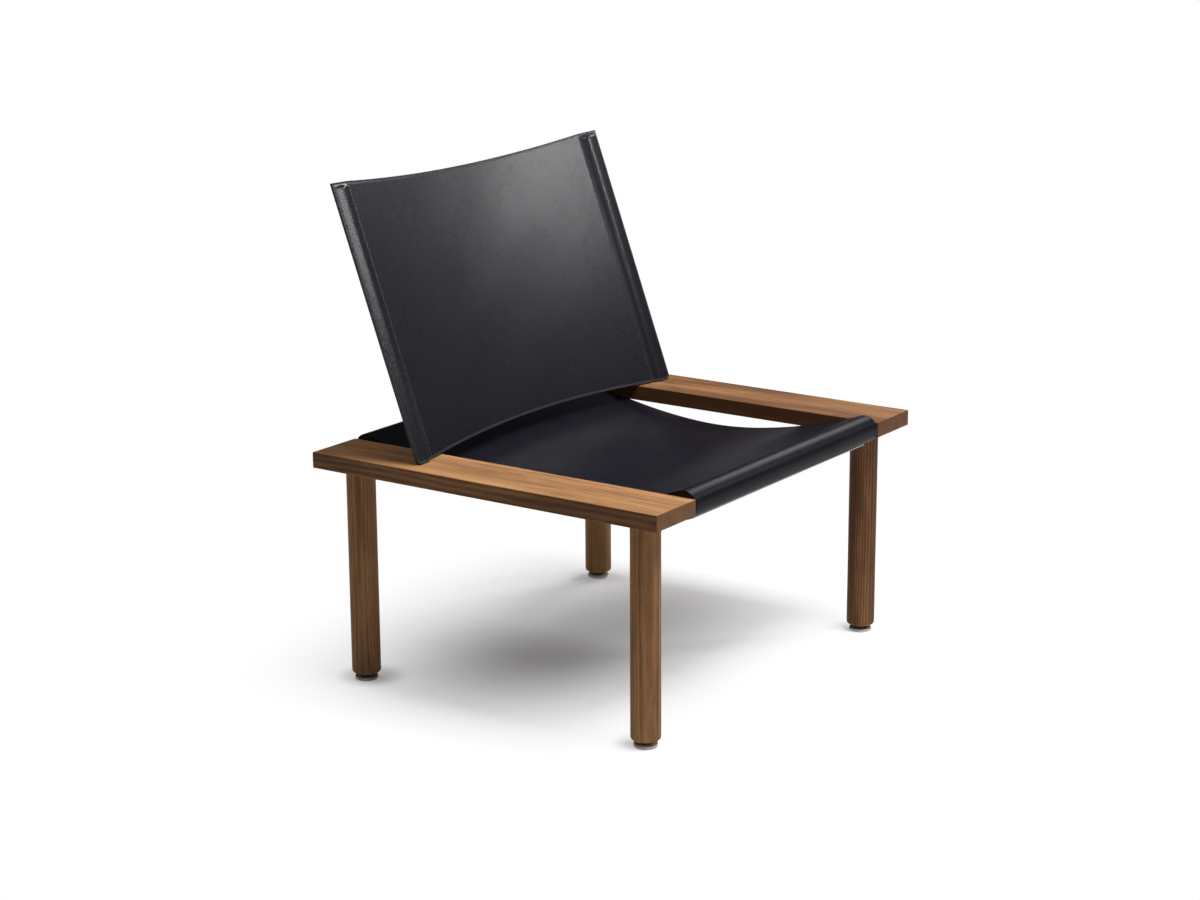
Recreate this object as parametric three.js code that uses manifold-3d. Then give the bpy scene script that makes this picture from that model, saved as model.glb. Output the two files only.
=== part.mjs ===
// Leather sling lounge chair. Two flat walnut boards stand on four round legs. A leather seat is
// slung between two crossbars, and a leather back is slung between two leaning steel posts.
// Millimetres, +Z up, the front faces -Y, the origin is on the floor under the middle of the frame.
// Right and left are the sitter's: right is -X.
import * as THREE from "three";
import { mergeVertices } from "three/addons/utils/BufferGeometryUtils.js";
import Module from "manifold-3d";

const wasm = await Module();
wasm.setup();

// Overall
const OVERALL_WIDTH = 800;
const BOARD_TOP = 400;
const FIT_GAP = 0.3;

// Side boards
const BOARD_LENGTH = 684;
const BOARD_WIDTH = 110;
const BOARD_THICKNESS = 27;
const BOARD_EDGE_ROUND = 1.5;

// Legs, with the stud and the threaded insert that hold each one to its board
const LEG_DIAMETER = 49;
const LEG_END_INSET = 57;
const LEG_FOOT_ROUND = 5;
const STUD_DIAMETER = 10;
const STUD_IN_LEG = 45;
const STUD_IN_BOARD = 14;
const INSERT_DIAMETER = 16;
const INSERT_LENGTH = 12;

// Glides
const GLIDE_DISC_DIAMETER = 39;
const GLIDE_DISC_HEIGHT = 5;
const GLIDE_DISC_ROUND = 1.5;
const GLIDE_COLLAR_DIAMETER = 22;
const GLIDE_COLLAR_HEIGHT = 6;
const GLIDE_SCREW_DIAMETER = 5;
const GLIDE_SCREW_HEAD = 10;
const GLIDE_SCREW_LENGTH = 40;
const GLIDE_SCREW_RECESS = 1;

// Crossbars, with the tenons in the boards and the strips that clamp the seat leather
const BAR_DIAMETER = 40;
const BAR_FLAT_WIDTH = 16;
const BAR_HEEL_RADIUS = 6;
const BAR_HEEL_REACH = 24;
const TENON_DIAMETER = 16;
const TENON_LENGTH = 45;
const STRIP_WIDTH = 14;
const STRIP_THICKNESS = 2.5;
const STRIP_END_INSET = 17;
const STRIP_SCREW_COUNT = 4;
const STRIP_SCREW_INSET = 30;

// Countersunk wood screws
const SCREW_DIAMETER = 4;
const SCREW_HEAD = 8;
const TENON_SCREW_LENGTH = 18;
const STRIP_SCREW_LENGTH = 20;
const PLATE_SCREW_LENGTH = 20;

// Seat leather
const SLING_THICKNESS = 3.5;
const SLING_SIDE_GAP = 1.5;
const SLING_SAG = 58;
const SLING_LOW_FORWARD = 15;
const SLING_FRONT_SLOPE = 19;
const SLING_REAR_SLOPE = 16.5;

// Back leather
const BACK_LEAN = 20.35;
const BACK_LENGTH = 473;
const BACK_FOOT_INSET = 195;
const BACK_LAYER = 2.2;
const BACK_BOW = 26;
const BACK_TOP_DROOP = 10;
const BACK_BOTTOM_ARCH = 18.5;
const BACK_LOWER_CORNER = 10;
const SLEEVE_WIDTH = 38;
const SLEEVE_CREST_ROUND = 3;
const FLANGE_WIDTH = 8;

// Back posts
const POST_WIDTH = 16;
const POST_THICKNESS = 6;
const POST_EDGE_ROUND = 2.5;
const POST_TOP_ROUND = 7;
const POST_TOP_GAP = 14;
const PLATE_WIDTH = 80;
const PLATE_LENGTH = 70;
const PLATE_THICKNESS = 5;
const PLATE_SCREW_INSET = 12;

// Places worked out from the sizes
const BOARD_BOTTOM = BOARD_TOP - BOARD_THICKNESS;
const BOARD_X = OVERALL_WIDTH / 2 - BOARD_WIDTH / 2;
const BOARD_INNER_X = OVERALL_WIDTH / 2 - BOARD_WIDTH;
const LEG_Y = BOARD_LENGTH / 2 - LEG_END_INSET;
const COLLAR_BOTTOM = GLIDE_DISC_HEIGHT + FIT_GAP;
const LEG_BOTTOM = COLLAR_BOTTOM + GLIDE_COLLAR_HEIGHT + FIT_GAP;
const LEG_TOP = BOARD_BOTTOM - FIT_GAP;
const ROLL_RADIUS = BAR_DIAMETER / 2 + FIT_GAP + SLING_THICKNESS;
const BAR_Y = BOARD_LENGTH / 2 - ROLL_RADIUS;
const BAR_Z = BOARD_TOP - BOARD_THICKNESS / 2;
const BAR_FLAT_DEPTH = Math.sqrt((BAR_DIAMETER / 2) ** 2 - (BAR_FLAT_WIDTH / 2) ** 2);
const STRIP_TOP = BAR_Z - BAR_FLAT_DEPTH - SLING_THICKNESS - 2 * FIT_GAP;
const STRIP_LENGTH = 2 * (BOARD_INNER_X - STRIP_END_INSET);
const LEAN = THREE.MathUtils.degToRad(BACK_LEAN);
const BACK_HALF_DEPTH = POST_THICKNESS / 2 + FIT_GAP + BACK_LAYER;
const BACK_FOOT_Y = BOARD_LENGTH / 2 - BACK_FOOT_INSET;
const BACK_FOOT_Z = BOARD_TOP + FIT_GAP + BACK_HALF_DEPTH * Math.sin(LEAN);
const SEAM_X = BOARD_X - SLEEVE_WIDTH / 2;
const BACK_HALF_WIDTH = BOARD_X + SLEEVE_WIDTH / 2 + FLANGE_WIDTH;
const POST_TURN = Math.atan((2 * BACK_BOW) / BOARD_X);
const PLATE_Y = BACK_FOOT_Y - Math.tan(LEAN) * (BACK_FOOT_Z - BOARD_BOTTOM - PLATE_THICKNESS / 2);

// Facets
const ROUND_SIDES = 28;
const SMALL_SIDES = 12;
const ARC_STEPS = 14;
const SAG_STEPS = 10;

// Finishes
const WALNUT = { color: 0x7b5537, roughness: 0.5, metalness: 0 };
const BLACK_LEATHER = { color: 0x1f1f23, roughness: 0.5, metalness: 0 };
const STEEL = { color: 0x8f9194, roughness: 0.35, metalness: 1 };
const PALE_PLASTIC = { color: 0xbab8b5, roughness: 0.45, metalness: 0 };
const DARK_PLASTIC = { color: 0x4b4540, roughness: 0.5, metalness: 0 };

const SIDES = { right: -1, left: 1 };
const ENDS = { front: -1, rear: 1 };

// Welds a geometry's shared points, drops flat triangles and turns its faces outwards.
function weld(geometry) {
  geometry.deleteAttribute("normal");
  geometry.deleteAttribute("uv");
  const merged = mergeVertices(geometry, 1e-4);
  const index = merged.index.array;
  const kept = [];
  for (let i = 0; i < index.length; i += 3) {
    const [a, b, c] = index.slice(i, i + 3);
    if (a !== b && b !== c && c !== a) kept.push(a, b, c);
  }
  merged.setIndex(kept);
  if (signedVolume(merged) < 0) merged.setIndex(kept.reverse());
  return merged;
}

function signedVolume(geometry) {
  const points = geometry.attributes.position;
  const [a, b, c] = [new THREE.Vector3(), new THREE.Vector3(), new THREE.Vector3()];
  let sum = 0;
  for (let i = 0; i < geometry.index.count; i += 3) {
    a.fromBufferAttribute(points, geometry.index.getX(i));
    b.fromBufferAttribute(points, geometry.index.getX(i + 1));
    c.fromBufferAttribute(points, geometry.index.getX(i + 2));
    sum += a.dot(b.cross(c)) / 6;
  }
  return sum;
}

// A solid that can be joined to others and cut by them.
function toSolid(geometry) {
  const welded = weld(geometry);
  return new wasm.Manifold(new wasm.Mesh({
    numProp: 3,
    vertProperties: Float32Array.from(welded.attributes.position.array),
    triVerts: Uint32Array.from(welded.index.array),
  }));
}

function toGeometry(solid) {
  const mesh = solid.getMesh();
  const geometry = new THREE.BufferGeometry();
  geometry.setAttribute("position", new THREE.BufferAttribute(mesh.vertProperties, 3));
  geometry.setIndex(new THREE.BufferAttribute(mesh.triVerts, 1));
  return geometry;
}

function cut(geometry, ...tools) {
  return toGeometry(tools.reduce((solid, tool) => solid.subtract(toSolid(tool)), toSolid(geometry)));
}

function piece(name, geometry, finish) {
  const part = new THREE.Mesh(weld(geometry), new THREE.MeshStandardMaterial(finish));
  part.name = name;
  return part;
}

// A turned piece about the vertical axis, from radius and height pairs.
function turned(profile, sides) {
  const points = profile.map(([radius, height]) => new THREE.Vector2(radius, height));
  return new THREE.LatheGeometry(points, sides).rotateX(Math.PI / 2);
}

// Radius and height pairs along a rounded lower edge, from the underside out to the side.
function roundedFoot(radius, bottom, round, steps) {
  return Array.from({ length: steps + 1 }, (_, i) => {
    const angle = (i / steps) * (Math.PI / 2);
    return [radius - round + round * Math.sin(angle), bottom + round - round * Math.cos(angle)];
  });
}

function rod(diameter, bottom, top, sides) {
  const radius = diameter / 2;
  return turned([[0, bottom], [radius, bottom], [radius, top], [0, top]], sides);
}

// A countersunk screw driven upwards, its flat head at height zero.
function screw(diameter, head, length) {
  const shank = diameter / 2;
  const rim = head / 2;
  const profile = [[0, 0], [rim, 0], [shank, rim - shank], [shank, length - shank], [0, length]];
  return turned(profile, SMALL_SIDES);
}

// The hole for a screw, wider by the fit gap and open below the head.
function screwHole(diameter, head, length) {
  const shank = diameter / 2 + FIT_GAP;
  const rim = head / 2 + FIT_GAP;
  const top = length + FIT_GAP;
  const profile = [[0, -head], [rim, -head], [rim, 0], [shank, rim - shank], [shank, top], [0, top]];
  return turned(profile, SMALL_SIDES);
}

function box(width, depth, height) {
  return new THREE.BoxGeometry(width, depth, height);
}

// A flat plate of a rectangle's plan with rounded edges, its middle at the origin.
function roundedPlate(width, length, thickness, round) {
  const [x, y] = [width / 2 - round, length / 2 - round];
  const plan = new THREE.Shape([[-x, -y], [x, -y], [x, y], [-x, y]].map((p) => new THREE.Vector2(...p)));
  const depth = thickness - 2 * round;
  const edge = { bevelEnabled: true, bevelSize: round, bevelThickness: round, bevelSegments: 2 };
  return new THREE.ExtrudeGeometry(plan, { depth, ...edge }).translate(0, 0, -depth / 2);
}

// Where the four screws of a post's plate stand.
function plateScrewPlaces(side) {
  const [dx, dy] = [PLATE_WIDTH / 2 - PLATE_SCREW_INSET, PLATE_LENGTH / 2 - PLATE_SCREW_INSET];
  return [[-dx, -dy], [dx, -dy], [-dx, dy], [dx, dy]].map(([x, y]) => [side * BOARD_X + x, PLATE_Y + y]);
}

function tenonScrewX(side) {
  return side * (BOARD_INNER_X + TENON_LENGTH / 2);
}

// The post's bar in its leaning place, turned to follow the back's bow, and grown by a gap for the
// slot in the board.
function postBar(side, gap) {
  const half = POST_WIDTH / 2 + gap;
  const top = BACK_LENGTH - POST_TOP_GAP;
  const bottom = -(BACK_FOOT_Z - BOARD_BOTTOM + POST_THICKNESS) / Math.cos(LEAN);
  const face = new THREE.Shape();
  face.moveTo(-half, bottom);
  face.lineTo(half, bottom);
  face.lineTo(half, top - POST_TOP_ROUND);
  face.absarc(half - POST_TOP_ROUND, top - POST_TOP_ROUND, POST_TOP_ROUND, 0, Math.PI / 2);
  face.absarc(POST_TOP_ROUND - half, top - POST_TOP_ROUND, POST_TOP_ROUND, Math.PI / 2, Math.PI);
  const depth = POST_THICKNESS - 2 * POST_EDGE_ROUND + 2 * gap;
  const edge = {
    bevelEnabled: true, bevelSize: POST_EDGE_ROUND, bevelOffset: -POST_EDGE_ROUND,
    bevelThickness: POST_EDGE_ROUND, bevelSegments: 3, curveSegments: 5,
  };
  const bar = new THREE.ExtrudeGeometry(face, { depth, ...edge }).translate(0, 0, -depth / 2);
  bar.rotateY(-side * POST_TURN).rotateX(Math.PI / 2 - LEAN);
  return bar.translate(side * BOARD_X, BACK_FOOT_Y, BACK_FOOT_Z);
}

function sideBoard(side) {
  const board = roundedPlate(BOARD_WIDTH, BOARD_LENGTH, BOARD_THICKNESS, BOARD_EDGE_ROUND);
  board.translate(side * BOARD_X, 0, BOARD_TOP - BOARD_THICKNESS / 2);
  const holes = [];
  for (const end of Object.values(ENDS)) {
    const insertHole = rod(INSERT_DIAMETER + 2 * FIT_GAP, -FIT_GAP, STUD_IN_BOARD + FIT_GAP, SMALL_SIDES);
    holes.push(insertHole.translate(side * BOARD_X, end * LEG_Y, BOARD_BOTTOM));
    const reach = TENON_LENGTH + FIT_GAP;
    const tenonHole = rod(TENON_DIAMETER + 2 * FIT_GAP, -FIT_GAP, reach, SMALL_SIDES);
    holes.push(tenonHole.rotateY(side * Math.PI / 2).translate(side * BOARD_INNER_X, end * BAR_Y, BAR_Z));
    const lockHole = screwHole(SCREW_DIAMETER, SCREW_HEAD, TENON_SCREW_LENGTH);
    holes.push(lockHole.translate(tenonScrewX(side), end * BAR_Y, BOARD_BOTTOM));
  }
  const pocket = box(PLATE_WIDTH + 2 * FIT_GAP, PLATE_LENGTH + 2 * FIT_GAP, 2 * (PLATE_THICKNESS + FIT_GAP));
  holes.push(pocket.translate(side * BOARD_X, PLATE_Y, BOARD_BOTTOM));
  holes.push(postBar(side, FIT_GAP));
  for (const [x, y] of plateScrewPlaces(side)) {
    holes.push(screwHole(SCREW_DIAMETER, SCREW_HEAD, PLATE_SCREW_LENGTH).translate(x, y, BOARD_BOTTOM));
  }
  return cut(board, ...holes);
}

function leg() {
  const radius = LEG_DIAMETER / 2;
  const pilot = GLIDE_SCREW_DIAMETER / 2 + FIT_GAP;
  const pilotTop = GLIDE_SCREW_RECESS + GLIDE_SCREW_LENGTH + FIT_GAP;
  const socket = STUD_DIAMETER / 2 + FIT_GAP;
  const socketBottom = LEG_TOP - STUD_IN_LEG - FIT_GAP;
  return turned([
    [0, pilotTop],
    [pilot, pilotTop],
    [pilot, LEG_BOTTOM],
    ...roundedFoot(radius, LEG_BOTTOM, LEG_FOOT_ROUND, 4),
    [radius, LEG_TOP],
    [socket, LEG_TOP],
    [socket, socketBottom],
    [0, socketBottom],
  ], ROUND_SIDES);
}

function threadedInsert() {
  const inner = STUD_DIAMETER / 2 + FIT_GAP;
  const outer = INSERT_DIAMETER / 2;
  const top = INSERT_LENGTH;
  return turned([[inner, 0], [outer, 0], [outer, top], [inner, top], [inner, 0]], SMALL_SIDES);
}

function glideDisc() {
  const radius = GLIDE_DISC_DIAMETER / 2;
  const profile = [
    [0, 0],
    ...roundedFoot(radius, 0, GLIDE_DISC_ROUND, 3),
    [radius, GLIDE_DISC_HEIGHT],
    [0, GLIDE_DISC_HEIGHT],
  ];
  return cut(turned(profile, ROUND_SIDES), glideScrewHole());
}

function glideScrewHole() {
  const hole = screwHole(GLIDE_SCREW_DIAMETER, GLIDE_SCREW_HEAD, GLIDE_SCREW_LENGTH);
  return hole.translate(0, 0, GLIDE_SCREW_RECESS);
}

function glideCollar() {
  const top = COLLAR_BOTTOM + GLIDE_COLLAR_HEIGHT;
  return cut(rod(GLIDE_COLLAR_DIAMETER, COLLAR_BOTTOM, top, ROUND_SIDES), glideScrewHole());
}

// Where the screws of a clamp strip stand along the crossbar.
function stripScrewPlaces() {
  const reach = STRIP_LENGTH / 2 - STRIP_SCREW_INSET;
  const step = (2 * reach) / (STRIP_SCREW_COUNT - 1);
  return Array.from({ length: STRIP_SCREW_COUNT }, (_, i) => -reach + step * i);
}

function stripScrewHoles(end) {
  const hole = screwHole(SCREW_DIAMETER, SCREW_HEAD, STRIP_SCREW_LENGTH);
  return stripScrewPlaces().map((x) => hole.clone().translate(x, end * BAR_Y, STRIP_TOP - STRIP_THICKNESS));
}

// A crossbar's section, from its middle towards the seat and up: round where the leather rolls over
// it, with a lower heel behind, along the slope at which the leather leaves.
function barSection(slope) {
  const radius = BAR_DIAMETER / 2;
  const tilt = THREE.MathUtils.degToRad(slope);
  const rise = (radius - BAR_HEEL_RADIUS) * Math.cos(tilt) - BAR_HEEL_REACH * Math.sin(tilt);
  const inward = (radius - BAR_HEEL_RADIUS) * Math.sin(tilt) + BAR_HEEL_REACH * Math.cos(tilt);
  const upper = Math.PI / 2 - tilt;
  const lower = 2 * Math.atan2(rise, inward) - upper;
  const section = new THREE.Shape();
  section.absarc(0, 0, radius, upper, lower + 2 * Math.PI);
  section.absarc(inward, rise, BAR_HEEL_RADIUS, lower, upper);
  return section;
}

function crossbar(end) {
  const half = BOARD_INNER_X - FIT_GAP;
  const below = box(2 * half, BAR_DIAMETER, BAR_DIAMETER).translate(0, 0, -BAR_FLAT_DEPTH - BAR_DIAMETER / 2);
  const section = barSection(end === ENDS.front ? SLING_FRONT_SLOPE : SLING_REAR_SLOPE);
  const run = { depth: 2 * half, bevelEnabled: false, curveSegments: 20 };
  const shaft = new THREE.ExtrudeGeometry(section, run);
  shaft.translate(0, 0, -half);
  const sectionAxes = [[0, -end, 0], [0, 0, 1], [1, 0, 0]].map((axis) => new THREE.Vector3(...axis));
  shaft.applyMatrix4(new THREE.Matrix4().makeBasis(...sectionAxes));
  const body = cut(shaft, below);
  const reach = BOARD_INNER_X + TENON_LENGTH;
  const tenons = rod(TENON_DIAMETER, -reach, reach, SMALL_SIDES).rotateY(Math.PI / 2);
  const bar = toGeometry(toSolid(body).add(toSolid(tenons))).translate(0, end * BAR_Y, BAR_Z);
  const lockHoles = Object.values(SIDES).map((side) => {
    const hole = screwHole(SCREW_DIAMETER, SCREW_HEAD, TENON_SCREW_LENGTH);
    return hole.translate(tenonScrewX(side), end * BAR_Y, BOARD_BOTTOM);
  });
  return cut(bar, ...lockHoles, ...stripScrewHoles(end));
}

function clampStrip(end) {
  const strip = box(STRIP_LENGTH, STRIP_WIDTH, STRIP_THICKNESS);
  strip.translate(0, end * BAR_Y, STRIP_TOP - STRIP_THICKNESS / 2);
  return cut(strip, ...stripScrewHoles(end));
}

// One face of the seat leather in the Y and Z plane, at a distance from the crossbars' surface:
// along the flat below the front bar, round its front, down to the low point and up over the rear.
function slingLine(distance) {
  const radius = BAR_DIAMETER / 2 + distance;
  const lowZ = BAR_Z + ROLL_RADIUS - SLING_SAG - (SLING_THICKNESS + FIT_GAP - distance);
  const low = new THREE.Vector2(-SLING_LOW_FORWARD, lowZ);
  const half = (end, slope) => {
    const tilt = THREE.MathUtils.degToRad(slope);
    const start = Math.asin(BAR_FLAT_WIDTH / BAR_DIAMETER);
    const sweep = Math.PI + tilt - start;
    const roll = Array.from({ length: ARC_STEPS + 1 }, (_, i) => {
      const angle = start + (sweep * i) / ARC_STEPS;
      const y = end * (BAR_Y + radius * Math.sin(angle));
      return new THREE.Vector2(y, BAR_Z - radius * Math.cos(angle));
    });
    const leave = roll[ARC_STEPS];
    const bend = new THREE.Vector2(leave.x - (end * (leave.y - lowZ)) / Math.tan(tilt), lowZ);
    const sag = new THREE.QuadraticBezierCurve(leave, bend, low).getPoints(SAG_STEPS);
    const flatZ = BAR_Z - BAR_FLAT_DEPTH - distance;
    const flatEnds = [BAR_Y - BAR_FLAT_WIDTH / 2, BAR_Y + BAR_FLAT_WIDTH / 2];
    const flat = flatEnds.map((y) => new THREE.Vector2(end * y, flatZ));
    return [...flat, ...roll, ...sag.slice(1)];
  };
  const front = half(ENDS.front, SLING_FRONT_SLOPE);
  const rear = half(ENDS.rear, SLING_REAR_SLOPE);
  return [...front, ...rear.reverse().slice(1)];
}

function seatSling() {
  const outerFace = slingLine(FIT_GAP + SLING_THICKNESS);
  const section = new THREE.Shape([...slingLine(FIT_GAP), ...outerFace.reverse()]);
  const width = 2 * (BOARD_INNER_X - SLING_SIDE_GAP);
  const sheet = new THREE.ExtrudeGeometry(section, { depth: width, bevelEnabled: false });
  sheet.translate(0, 0, -width / 2);
  const sectionAxes = [[0, 1, 0], [0, 0, 1], [1, 0, 0]].map((axis) => new THREE.Vector3(...axis));
  sheet.applyMatrix4(new THREE.Matrix4().makeBasis(...sectionAxes));
  return cut(sheet, ...stripScrewHoles(ENDS.front), ...stripScrewHoles(ENDS.rear));
}

// The back leather bows to the rear between the posts, and its flanges stand forward of them.
function bow(x) {
  return BACK_BOW * (1 - (x / BOARD_X) ** 2);
}

// One at the middle of the back, nothing at the seams and beyond.
function middle(x) {
  return Math.max(0, 1 - (x / SEAM_X) ** 2);
}

// Half the space between the two back layers: a sleeve that is drawn straight from its seams over the
// post's edges to a rounded crest, and closed above the post.
function sleeve(x, height) {
  const seam = Math.hypot(SLEEVE_WIDTH / 2, SLEEVE_CREST_ROUND);
  const tent = (across) => seam - Math.hypot(across, SLEEVE_CREST_ROUND);
  const overPost = tent(Math.abs(x) - BOARD_X) / tent(POST_WIDTH / 2 - POST_EDGE_ROUND);
  const fromTopSeam = BACK_LENGTH - FLANGE_WIDTH - height;
  const abovePost = POST_TOP_GAP - FLANGE_WIDTH - FIT_GAP;
  const open = Math.max(0, overPost) * THREE.MathUtils.clamp(fromTopSeam / abovePost, 0, 1);
  return FIT_GAP / 2 + (POST_THICKNESS / 2 + FIT_GAP / 2) * open;
}

// Places across the back: the flange edges, the sleeves in short steps and the bowed middle.
function backColumns() {
  const flangeSteps = 4;
  const sleeveSteps = 12;
  const middleSteps = 16;
  const half = [BACK_HALF_WIDTH];
  for (let i = 1; i < flangeSteps; i += 1) half.push(BACK_HALF_WIDTH - FLANGE_WIDTH * (i / flangeSteps) ** 2);
  for (let i = 0; i <= sleeveSteps; i += 1) half.push(BOARD_X + SLEEVE_WIDTH * (0.5 - i / sleeveSteps));
  for (let i = 1; i < middleSteps / 2; i += 1) half.push(SEAM_X * (1 - (2 * i) / middleSteps));
  return [...half.map((x) => -x), 0, ...half.reverse()];
}

// The height of the lower edge at a place across and a depth: cut level with the board beside the
// seams, arched between them and rounded at the outer corners.
function bottomHeight(x, depth) {
  const besideSeam = bow(Math.max(Math.abs(x), SEAM_X)) + depth;
  const level = Math.tan(LEAN) * (besideSeam - BACK_HALF_DEPTH);
  const past = Math.max(0, Math.abs(x) - BACK_HALF_WIDTH + BACK_LOWER_CORNER);
  const corner = BACK_LOWER_CORNER - Math.sqrt(BACK_LOWER_CORNER ** 2 - past ** 2);
  return level + corner + BACK_BOTTOM_ARCH * middle(x);
}

// Heights up one column of the back: even steps to the post's top, then short ones to the edge.
function backHeights(x, depth) {
  const lowSteps = 5;
  const topSteps = 4;
  const bottom = bottomHeight(x, depth);
  const postTop = BACK_LENGTH - POST_TOP_GAP;
  const top = BACK_LENGTH - BACK_TOP_DROOP * middle(x);
  const low = Array.from({ length: lowSteps }, (_, i) => bottom + ((postTop - bottom) * i) / lowSteps);
  const high = Array.from({ length: topSteps + 1 }, (_, i) => postTop + ((top - postTop) * i) / topSteps);
  return [...low, ...high];
}

// One leather layer of the back in the posts' own frame: X across, Y to the rear, Z up the post.
function backLayer(end) {
  const columns = backColumns();
  const rows = backHeights(0, 0).length;
  const positions = [];
  for (const depth of [0, BACK_LAYER]) {
    for (const x of columns) {
      for (const height of backHeights(x, end * (sleeve(x, 0) + depth))) {
        positions.push(x, bow(x) + end * (sleeve(x, height) + depth), height);
      }
    }
  }
  const count = columns.length;
  const at = (layer, i, j) => (layer * count + i) * rows + j;
  const index = [];
  const quad = (a, b, c, d) => index.push(a, b, c, a, c, d);
  for (let i = 0; i + 1 < count; i += 1) {
    for (let j = 0; j + 1 < rows; j += 1) {
      quad(at(0, i, j), at(0, i, j + 1), at(0, i + 1, j + 1), at(0, i + 1, j));
      quad(at(1, i, j), at(1, i + 1, j), at(1, i + 1, j + 1), at(1, i, j + 1));
    }
    quad(at(0, i, 0), at(0, i + 1, 0), at(1, i + 1, 0), at(1, i, 0));
    quad(at(0, i, rows - 1), at(1, i, rows - 1), at(1, i + 1, rows - 1), at(0, i + 1, rows - 1));
  }
  for (let j = 0; j + 1 < rows; j += 1) {
    quad(at(0, 0, j), at(1, 0, j), at(1, 0, j + 1), at(0, 0, j + 1));
    quad(at(0, count - 1, j), at(0, count - 1, j + 1), at(1, count - 1, j + 1), at(1, count - 1, j));
  }
  const geometry = new THREE.BufferGeometry();
  geometry.setAttribute("position", new THREE.Float32BufferAttribute(positions, 3));
  geometry.setIndex(index);
  return geometry;
}

// A post welded to its plate, the bar's foot ground flush with the plate's underside.
function backPost(side) {
  const plate = box(PLATE_WIDTH, PLATE_LENGTH, PLATE_THICKNESS);
  plate.translate(side * BOARD_X, PLATE_Y, BOARD_BOTTOM + PLATE_THICKNESS / 2);
  const welded = toGeometry(toSolid(plate).add(toSolid(postBar(side, 0))));
  const below = box(PLATE_WIDTH, PLATE_LENGTH, BOARD_THICKNESS);
  below.translate(side * BOARD_X, PLATE_Y, BOARD_BOTTOM - BOARD_THICKNESS / 2);
  const holes = plateScrewPlaces(side).map(([x, y]) => {
    return screwHole(SCREW_DIAMETER, SCREW_HEAD, PLATE_SCREW_LENGTH).translate(x, y, BOARD_BOTTOM);
  });
  return cut(welded, below, ...holes);
}

const chair = new THREE.Group();

// Places a copy of a piece and adds it to the chair.
function add(name, geometry, finish, x = 0, y = 0, z = 0) {
  const part = piece(name, geometry, finish);
  part.position.set(x, y, z);
  chair.add(part);
}

for (const [sideName, side] of Object.entries(SIDES)) {
  add(`${sideName}_side_board`, sideBoard(side), WALNUT);
  add(`${sideName}_back_post`, backPost(side), STEEL);
  plateScrewPlaces(side).forEach(([x, y], i) => {
    const plateScrew = screw(SCREW_DIAMETER, SCREW_HEAD, PLATE_SCREW_LENGTH);
    add(`${sideName}_post_plate_screw_${i + 1}`, plateScrew, STEEL, x, y, BOARD_BOTTOM);
  });
  for (const [endName, end] of Object.entries(ENDS)) {
    const corner = `${endName}_${sideName}`;
    const [x, y] = [side * BOARD_X, end * LEG_Y];
    add(`${corner}_leg`, leg(), WALNUT, x, y);
    const stud = rod(STUD_DIAMETER, -STUD_IN_LEG, STUD_IN_BOARD, SMALL_SIDES);
    add(`${corner}_leg_stud`, stud, STEEL, x, y, LEG_TOP);
    add(`${corner}_leg_insert`, threadedInsert(), STEEL, x, y, BOARD_BOTTOM);
    add(`${corner}_glide_disc`, glideDisc(), PALE_PLASTIC, x, y);
    add(`${corner}_glide_collar`, glideCollar(), DARK_PLASTIC, x, y);
    const glideScrew = screw(GLIDE_SCREW_DIAMETER, GLIDE_SCREW_HEAD, GLIDE_SCREW_LENGTH);
    add(`${corner}_glide_screw`, glideScrew, STEEL, x, y, GLIDE_SCREW_RECESS);
    const lockScrew = screw(SCREW_DIAMETER, SCREW_HEAD, TENON_SCREW_LENGTH);
    add(`${corner}_tenon_screw`, lockScrew, STEEL, tenonScrewX(side), end * BAR_Y, BOARD_BOTTOM);
  }
}

for (const [endName, end] of Object.entries(ENDS)) {
  add(`${endName}_crossbar`, crossbar(end), WALNUT);
  add(`${endName}_clamp_strip`, clampStrip(end), STEEL);
  stripScrewPlaces().forEach((x, i) => {
    const stripScrew = screw(SCREW_DIAMETER, SCREW_HEAD, STRIP_SCREW_LENGTH);
    add(`${endName}_strip_screw_${i + 1}`, stripScrew, STEEL, x, end * BAR_Y, STRIP_TOP - STRIP_THICKNESS);
  });
}

add("seat_sling", seatSling(), BLACK_LEATHER);

const back = new THREE.Group();
back.position.set(0, BACK_FOOT_Y, BACK_FOOT_Z);
back.rotation.x = -LEAN;
for (const [endName, end] of Object.entries(ENDS)) {
  back.add(piece(`back_${endName}_leather`, backLayer(end), BLACK_LEATHER));
}
chair.add(back);

export default chair;
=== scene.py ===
"""Leather sling lounge chair: its looks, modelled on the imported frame.

Metres, +Z up, the front faces -Y. Right and left are the sitter's: right is -X.
"""

import logging
import math
from collections.abc import Callable, Iterator, Sequence
from contextlib import contextmanager
from dataclasses import dataclass, field
from enum import Enum

import bmesh
import bpy
from mathutils import Matrix, Vector, noise


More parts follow.
